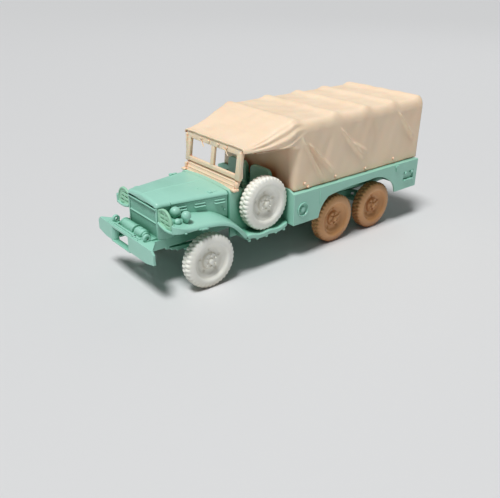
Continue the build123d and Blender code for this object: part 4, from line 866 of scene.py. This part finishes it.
def guard_plate(side):
    """Rings from the guard's middle to its edge, raised along the rim by a half circle and sunk in
    three rows of two slots by smooth steps, with a wall and a back."""
    edge = guard_edge() - GUARD_MIDDLE
    share = np.append(np.linspace(0.03, 0.84, 30), np.linspace(0.86, 0.995, 9))
    flat = GUARD_MIDDLE + edge * share[:, None, None]
    from_edge = (1 - share[:, None]) * np.hypot(*edge.T)
    round_rim = np.sqrt(np.clip(1 - ((from_edge - GUARD_RIM) / GUARD_RIM) ** 2, 0, 1))
    rim = GUARD_RIM * round_rim * (from_edge < 2 * GUARD_RIM)
    x, z = flat[..., 0], flat[..., 1]
    sunk = np.zeros_like(from_edge)
    for row in range(3):
        low = 15 + 0.95 * row
        in_z = smooth_step(z, low - 0.06, low + 0.08) * (1 - smooth_step(z, low + 0.34, low + 0.48))
        for inner, outer in ((6.7, 8.05), (8.55, 9.9 - 0.5 * row)):
            begun = smooth_step(x, inner - 0.08, inner + 0.08)
            ended = smooth_step(x, outer - 0.08, outer + 0.08)
            sunk = np.maximum(sunk, SLOT_DEPTH * begun * (1 - ended) * in_z)
    front = np.stack([side * x, -8.05 - rim + sunk, z], 2)
    wall = [slice_at(GUARD_MIDDLE + edge, y, side) for y in (-8.1, -7.95, -7.8)]
    wall.append(slice_at(GUARD_MIDDLE + edge * 0.97, -7.75, side))
    return ring_solid(np.concatenate([front, np.array(wall)]))


# Lamps, each a bulb with a lens in its front
def bulb(x, y, z, radius, foot):
    """Ball that goes over by a smooth step into a stalk about a quarter as thick, down to the foot."""
    turn = np.linspace(QUARTER, -0.35, 12)
    profile = [(z + radius * math.sin(a), radius * math.cos(a)) for a in turn]
    height, reach = profile[-1]
    for share in steps(7):
        narrow = smooth_step(share, -0.25, 1)
        profile.append((height + (foot - height) * share, reach + (radius * 0.26 - reach) * narrow))
    profile = [(height - foot, reach) for height, reach in profile][::-1]
    top = (profile[-1][0], 0)
    return turned([(0, 0), (0, radius * 0.4)] + profile[1:-1] + [top], (x, y, foot), (0, 0, 1), 28)


def lens(x, y, z, radius, depth):
    """Short drum that ends in a shallow dome and looks forward."""
    profile = [(0, 0), (0, radius), (depth * 0.7, radius), (depth * 0.88, radius * 0.94)]
    profile += [(depth, radius * 0.8), (depth + 0.05, radius * 0.74), (depth + 0.16, radius * 0.4)]
    return turned(profile + [(depth + 0.18, 0)], (x, y, z), (0, -1, 0), 28)


for side, label in SIDES:
    moulded("guard_%s_plate" % label, [guard_plate(side)], "guard_" + label, 70, "yellow_green")
for side, label in SIDES:
    parts = [bulb(side * 7.7, -5.15, 16.86, 1.2, 15.6), lens(side * 7.7, -5, 16.8, 1.05, 0.95)]
    parts += [bulb(side * 10.35, -6.35, 15.98, 0.72, 15.2), lens(side * 10.35, -6.3, 15.95, 0.6, 0.66)]
    if label == "left":
        parts.append(bulb(10.75, -4.55, 16.95, 1.02, 14.95))
    moulded("lamps_%s_bulbs" % label, parts, "lamps_" + label, 50)


# Winch and tow rings
WINCH_Y, WINCH_Z = -9.75, 11.25
RING_Y, RING_Z = -11.4, 12.45


def drum(start, end, radius, soft=0.12):
    """Round bar along the winch's axis from start to end with softened edges."""
    length = end - start
    edge = [(0, 0), (0, radius - soft), (soft * 0.3, radius - soft * 0.3), (soft, radius)]
    profile = edge + [(length - along, reach) for along, reach in edge[::-1]]
    return turned(profile, (start, WINCH_Y, WINCH_Z), (1, 0, 0), 36)


def tow_ring(x):
    """Ring about the x axis: a rounded square section carried round a circle."""
    section = rounded_outline((-0.35, 0.37), (0.35, 0.84), 0.15)
    circle = round_about((1, 0), (0, 1), 40)
    y, z = RING_Y + section[:, 1] * circle[:, :1], RING_Z + section[:, 1] * circle[:, 1:]
    rings = np.stack([x + section[:, 0] + 0 * y, y, z], 2)
    number = np.arange(y.size).reshape(y.shape)
    along, across = np.roll(number, -1, 0), np.roll(number, -1, 1)
    quads = np.stack([number, across, np.roll(along, -1, 1), along], 2)
    return rings.reshape(-1, 3), quads.reshape(-1, 4).tolist()


parts = [drum(*row) for row in (
    (-5.7, -5.3, 1.3), (-5.4, -0.55, 1.18, 0.05), (-0.75, -0.4, 1.3), (-0.45, 0.1, 0.85),
    (0.05, 3, 1.22, 0.3), (2.9, 3.5, 0.95), (3.4, 4.3, 0.6),
)]
parts += round_boxes(
    (0, -9.9, 10.95, 5.2, 1.45, 0.2, 0.12), (1.4, -9.75, 12.4, 0.5, 0.35, 0.2, 0.15),
    (4.1, -11.25, 11.35, 0.3, 0.3, 0.28, 0.2), (-5, -10, 10.9, 0.5, 1.2, 0.3, 0.15),
)
parts += [drum(x, x + 0.2, 1.22, 0.08) for x in np.arange(-5, -0.7, 0.36)]
moulded("winch_turned", parts, "winch")
moulded("tow_rings_round", [tow_ring(6.5), tow_ring(-6.5)], "tow_rings")
parts = round_boxes(
    (-1.2, -12.72, 11.84, 6.3, 0.16, 0.14, 0.1), (-1.2, -12.1, 11.84, 6.3, 0.2, 0.14, 0.1),
    (-6.6, -12.4, 11.8, 1.2, 0.45, 0.1, 0.08), (3, -12.4, 11.84, 0.5, 0.5, 0.14, 0.1),
)
moulded("flange_rails", parts)


# Windscreen, a slanted frame given by (y, z) of its foot and head, and wipers
SCREEN_FOOT = np.array((9.75, 20.95))
SCREEN_HEAD = np.array((10.55, 27.35))
SCREEN_RISE = SCREEN_HEAD - SCREEN_FOOT
APRON_FOOT = np.array((8.55, 18.55))


def screen_y(z):
    return SCREEN_FOOT[0] + (z - SCREEN_FOOT[1]) * SCREEN_RISE[0] / SCREEN_RISE[1]


def slant_bar(x0, z0, x1, z1, half, proud=0.42):
    """Rounded bar in the screen's slanted plane between two points given as (x, z)."""
    start, end = np.array((x0, screen_y(z0), z0)), np.array((x1, screen_y(z1), z1))
    length = np.linalg.norm(end - start)
    way = (end - start) / length
    out = np.cross((1, 0, 0), (0, *SCREEN_RISE))
    out = out / np.linalg.norm(out)
    section = rounded_outline((-half, -proud), (half, proud), 0.16)
    across = section[:, :1] * np.cross(way, out) + section[:, 1:] * out
    ends = ((0, 0.7), (0.08, 0.92), (0.2, 1))
    rings = [start + way * at + across * shrink for at, shrink in ends]
    rings += [end - way * at + across * shrink for at, shrink in ends[::-1]]
    return ring_solid(rings)


def apron():
    """Slanted strip below the screen: ridges run along it, each the upper part of a wave."""
    share = np.linspace(0, 1, 60)
    wave = 0.09 * np.clip(np.cos((share - 0.12) * 2 * np.pi * 3.3), 0, 1) ** 1.5
    out = np.array((-2.4, 1.2)) / np.hypot(1.2, 2.4)
    spine = APRON_FOOT + (SCREEN_FOOT + (0, 0.1) - APRON_FOOT) * share[:, None]
    loop = np.concatenate([spine + wave[:, None] * out, (spine + (0.75, 0))[::-1]])
    middle = loop.mean(0)
    rings = []
    for x, shrink in ((-9.6, 0.9), (-9.5, 1), (-5, 1), (0, 1), (5, 1), (9.5, 1), (9.6, 0.9)):
        rings.append(np.column_stack([np.full(len(loop), x), middle + (loop - middle) * shrink]))
    return ring_solid(rings)


parts = [slant_bar(*bar) for bar in (
    (-10, 26.92, 10, 26.92, 0.78, 0.39), (-10, 21.5, 10, 21.5, 0.52, 0.39),
    (-9.32, 20.8, -9.32, 27.65, 0.8), (9.32, 20.8, 9.32, 27.65, 0.8), (0, 21.2, 0, 27.4, 0.6, 0.36),
)]
for x in (-4.4, -1.5, 2, 5):
    parts.append(round_box(x, screen_y(26.9) - 0.42, 26.95, 0.32, 0.22, 0.26, 0.14))
for side, _ in SIDES:
    parts += round_boxes(
        (side * 9.95, 10.05, 24.2, 0.3, 0.4, 2.9, 0.22),
        (side * 9.35, 8.75, 18.95, 0.75, 0.75, 0.28, 0.2),
        (side * 9.4, 9.2, 19.7, 0.4, 0.4, 0.7, 0.2),
    )
moulded("windscreen_frame", parts + [apron()], "windscreen", slot=slot_of["windscreen"])
parts = []
for x in (-5.16, 3.7):
    line = [(x, 26.55), (x + 0.95, 26.4), (x + 1.12, 26.3), (x + 1.35, 25.95), (x + 1.95, 25.35)]
    parts.append(tube([(a, screen_y(z) - 0.46, z) for a, z in smooth_line(line, 24)], 0.13))
moulded("wiper_arms", parts, "wipers", slot=slot_of["wipers"])


# Bed details: on the left the filler with its ring, the latch and the panel line; on both sides the
# step and studs of the recessed panel, and the buttons along the cover's hem
FILLER = (
    (0, 0), (0, 1.7), (0.56, 1.7), (0.62, 1.64), (0.64, 1.56), (0.62, 1.48), (0.5, 1.4), (0.28, 1.32),
    (0.1, 1.2), (0.06, 0.85), (0.1, 0.78), (0.3, 0.72), (0.46, 0.6), (0.56, 0.36), (0.6, 0),
)
STUD = ((0, 0), (0, 0.44), (0.4, 0.44), (0.54, 0.32), (0.6, 0))
BUTTON = ((0, 0), (0, 0.34), (0.5, 0.34), (0.62, 0.24), (0.66, 0))
parts = [turned(FILLER, (13.94, 24.56, 12.2), (1, 0, 0), 40)]
parts += round_boxes(
    (14.35, 57.6, 15.72, 0.26, 0.7, 0.34, 0.1), (14.35, 57.75, 15.05, 0.25, 0.42, 0.66, 0.16),
)
for side, _ in SIDES:
    parts.append(round_box(side * 14.36, 63, 11.2, 0.25, 1.95, 0.22, 0.12))
    parts += [turned(STUD, (side * 14, y, 13.2), (side, 0, 0), 20) for y in (61.7, 64.3)]
parts.append(round_box(14.32, 30, 13.9, 0.12, 0.14, 1.7, 0.06))
moulded("bed_details", parts)
parts = []
for y, z in ((25.8, 17.75), (26.9, 16.75), (35.9, 17.4), (46.4, 17.25), (57.1, 17.7)):
    parts += [turned(BUTTON, (side * 12.85, y, z), (side, 0, 0.1), 20) for side, _ in SIDES]
moulded("hem_buttons", parts, slot="canvas_cream")


# Every other piece keeps its CAD shape and gets the rounded edges of a moulding, widths in mm
USUAL_EDGE = 0.08
EDGE_WIDTHS = {
    "bumper": 0.2, "cab": 0.14, "bed": 0.16, "tailgate": 0.16, "seat_left": 0.3, "seat_right": 0.3,
    "engine": 0.15, "fuel_tank": 0.15, "transfer_case": 0.12, "exhaust": 0.05, "front_springs": 0.05,
    "rear_springs": 0.05, "torque_rods": 0.05, "prop_shafts": 0.05,
}
BED_SIDE = 14  # beyond this x the bed's outer sides begin
SIDE_INSET = 0.3


def inset_bed_sides():
    """Moves the bed's outer sides in by a smooth step, so that the studs and rims on them are its
    widest places."""
    mesh = scene.objects["bed_moulded"].data
    places = np.zeros(len(mesh.vertices) * 3)
    mesh.vertices.foreach_get("co", places)
    x = places[::3]
    inset = SIDE_INSET * smooth_step(np.abs(x) / MM, BED_SIDE, BED_SIDE + 0.1)
    x -= np.sign(x) * inset * MM
    mesh.vertices.foreach_set("co", places)


for name, cad in nodes.items():
    if not cad.hide_render:
        softened(name, EDGE_WIDTHS.get(name, USUAL_EDGE))
inset_bed_sides()


# Table, light and camera, in metres
TABLE_REACH = 3
ROOM_LIGHT = 0.12
PICTURE = 500  # pixels across
FOCAL = 588.1  # distance to the picture in the same pixels
SENSOR = 36


def add_table():
    mesh = bpy.data.meshes.new("table_top")
    corners = [(x * TABLE_REACH, y * TABLE_REACH, 0) for x, y in ((-1, -1), (1, -1), (1, 1), (-1, 1))]
    mesh.from_pydata(corners, [], [(0, 1, 2, 3)])
    paint = bpy.data.materials.new("table_paint")
    paint.use_nodes = True
    shader = paint.node_tree.nodes["Principled BSDF"]
    fill(shader, {"Base Color": colour(216, 217, 218), "Roughness": 0.6})
    mesh.materials.append(paint)
    return link_new("table_top", mesh)


def add_light(name, kind, way, power):
    """Light that shines along a way, given as a vector."""
    data = bpy.data.lights.new(name, kind)
    data.energy = power
    lamp = link_new(name, data)
    lamp.rotation_euler = Vector(way).to_track_quat("-Z", "Y").to_euler()
    return lamp


def softbox(name, place, aim, size, power):
    lamp = add_light(name, "AREA", Vector(aim) - Vector(place), power)
    lamp.data.shape = "RECTANGLE"
    lamp.data.size, lamp.data.size_y = size
    lamp.location = place


def light_room():
    """Even light from all round; what the camera itself sees of the room is a pale backdrop."""
    scene.world = bpy.data.worlds.new("studio")
    scene.world.use_nodes = True
    tree = scene.world.node_tree
    room, backdrop = tree.nodes["Background"], node(tree, "ShaderNodeBackground")
    fill(room, {"Color": (1, 1, 1, 1), "Strength": ROOM_LIGHT})
    fill(backdrop, {"Color": colour(238, 239, 240)})
    rays, seen = node(tree, "ShaderNodeLightPath"), node(tree, "ShaderNodeMixShader")
    tree.links.new(rays.outputs["Is Camera Ray"], seen.inputs["Fac"])
    tree.links.new(room.outputs["Background"], seen.inputs[1])
    tree.links.new(backdrop.outputs["Background"], seen.inputs[2])
    tree.links.new(seen.outputs["Shader"], tree.nodes["World Output"].inputs["Surface"])


def add_camera():
    """Camera at the place and angle fitted to the photograph."""
    data = bpy.data.cameras.new("camera")
    data.sensor_width = SENSOR
    data.lens = FOCAL / PICTURE * SENSOR
    data.clip_start, data.clip_end = 0.005, 20
    camera = link_new("camera", data)
    right, up = Vector((0.6328, 0.7743, 0.0094)), Vector((-0.3449, 0.271, 0.8986))
    back = right.cross(up).normalized()
    up = back.cross(right).normalized()
    place = Vector((0.10225, -0.090355, 0.0625))
    camera.matrix_world = Matrix((*zip(right, up, back, place), (0, 0, 0, 1)))
    scene.camera = camera


table = add_table()
sun = add_light("key_light", "SUN", (-0.04, 0.16, -0.46), 2.95)
sun.data.angle = math.radians(16)
softbox("fill_softbox", (0.42, -0.1, 0.22), (0, 0, 0.01), (0.3, 0.25), 0.08)
softbox("back_softbox", (-0.2, 0.36, 0.35), (0, 0, 0.02), (0.3, 0.2), 0.12)
light_room()
scene.view_settings.view_transform = "Standard"
add_camera()
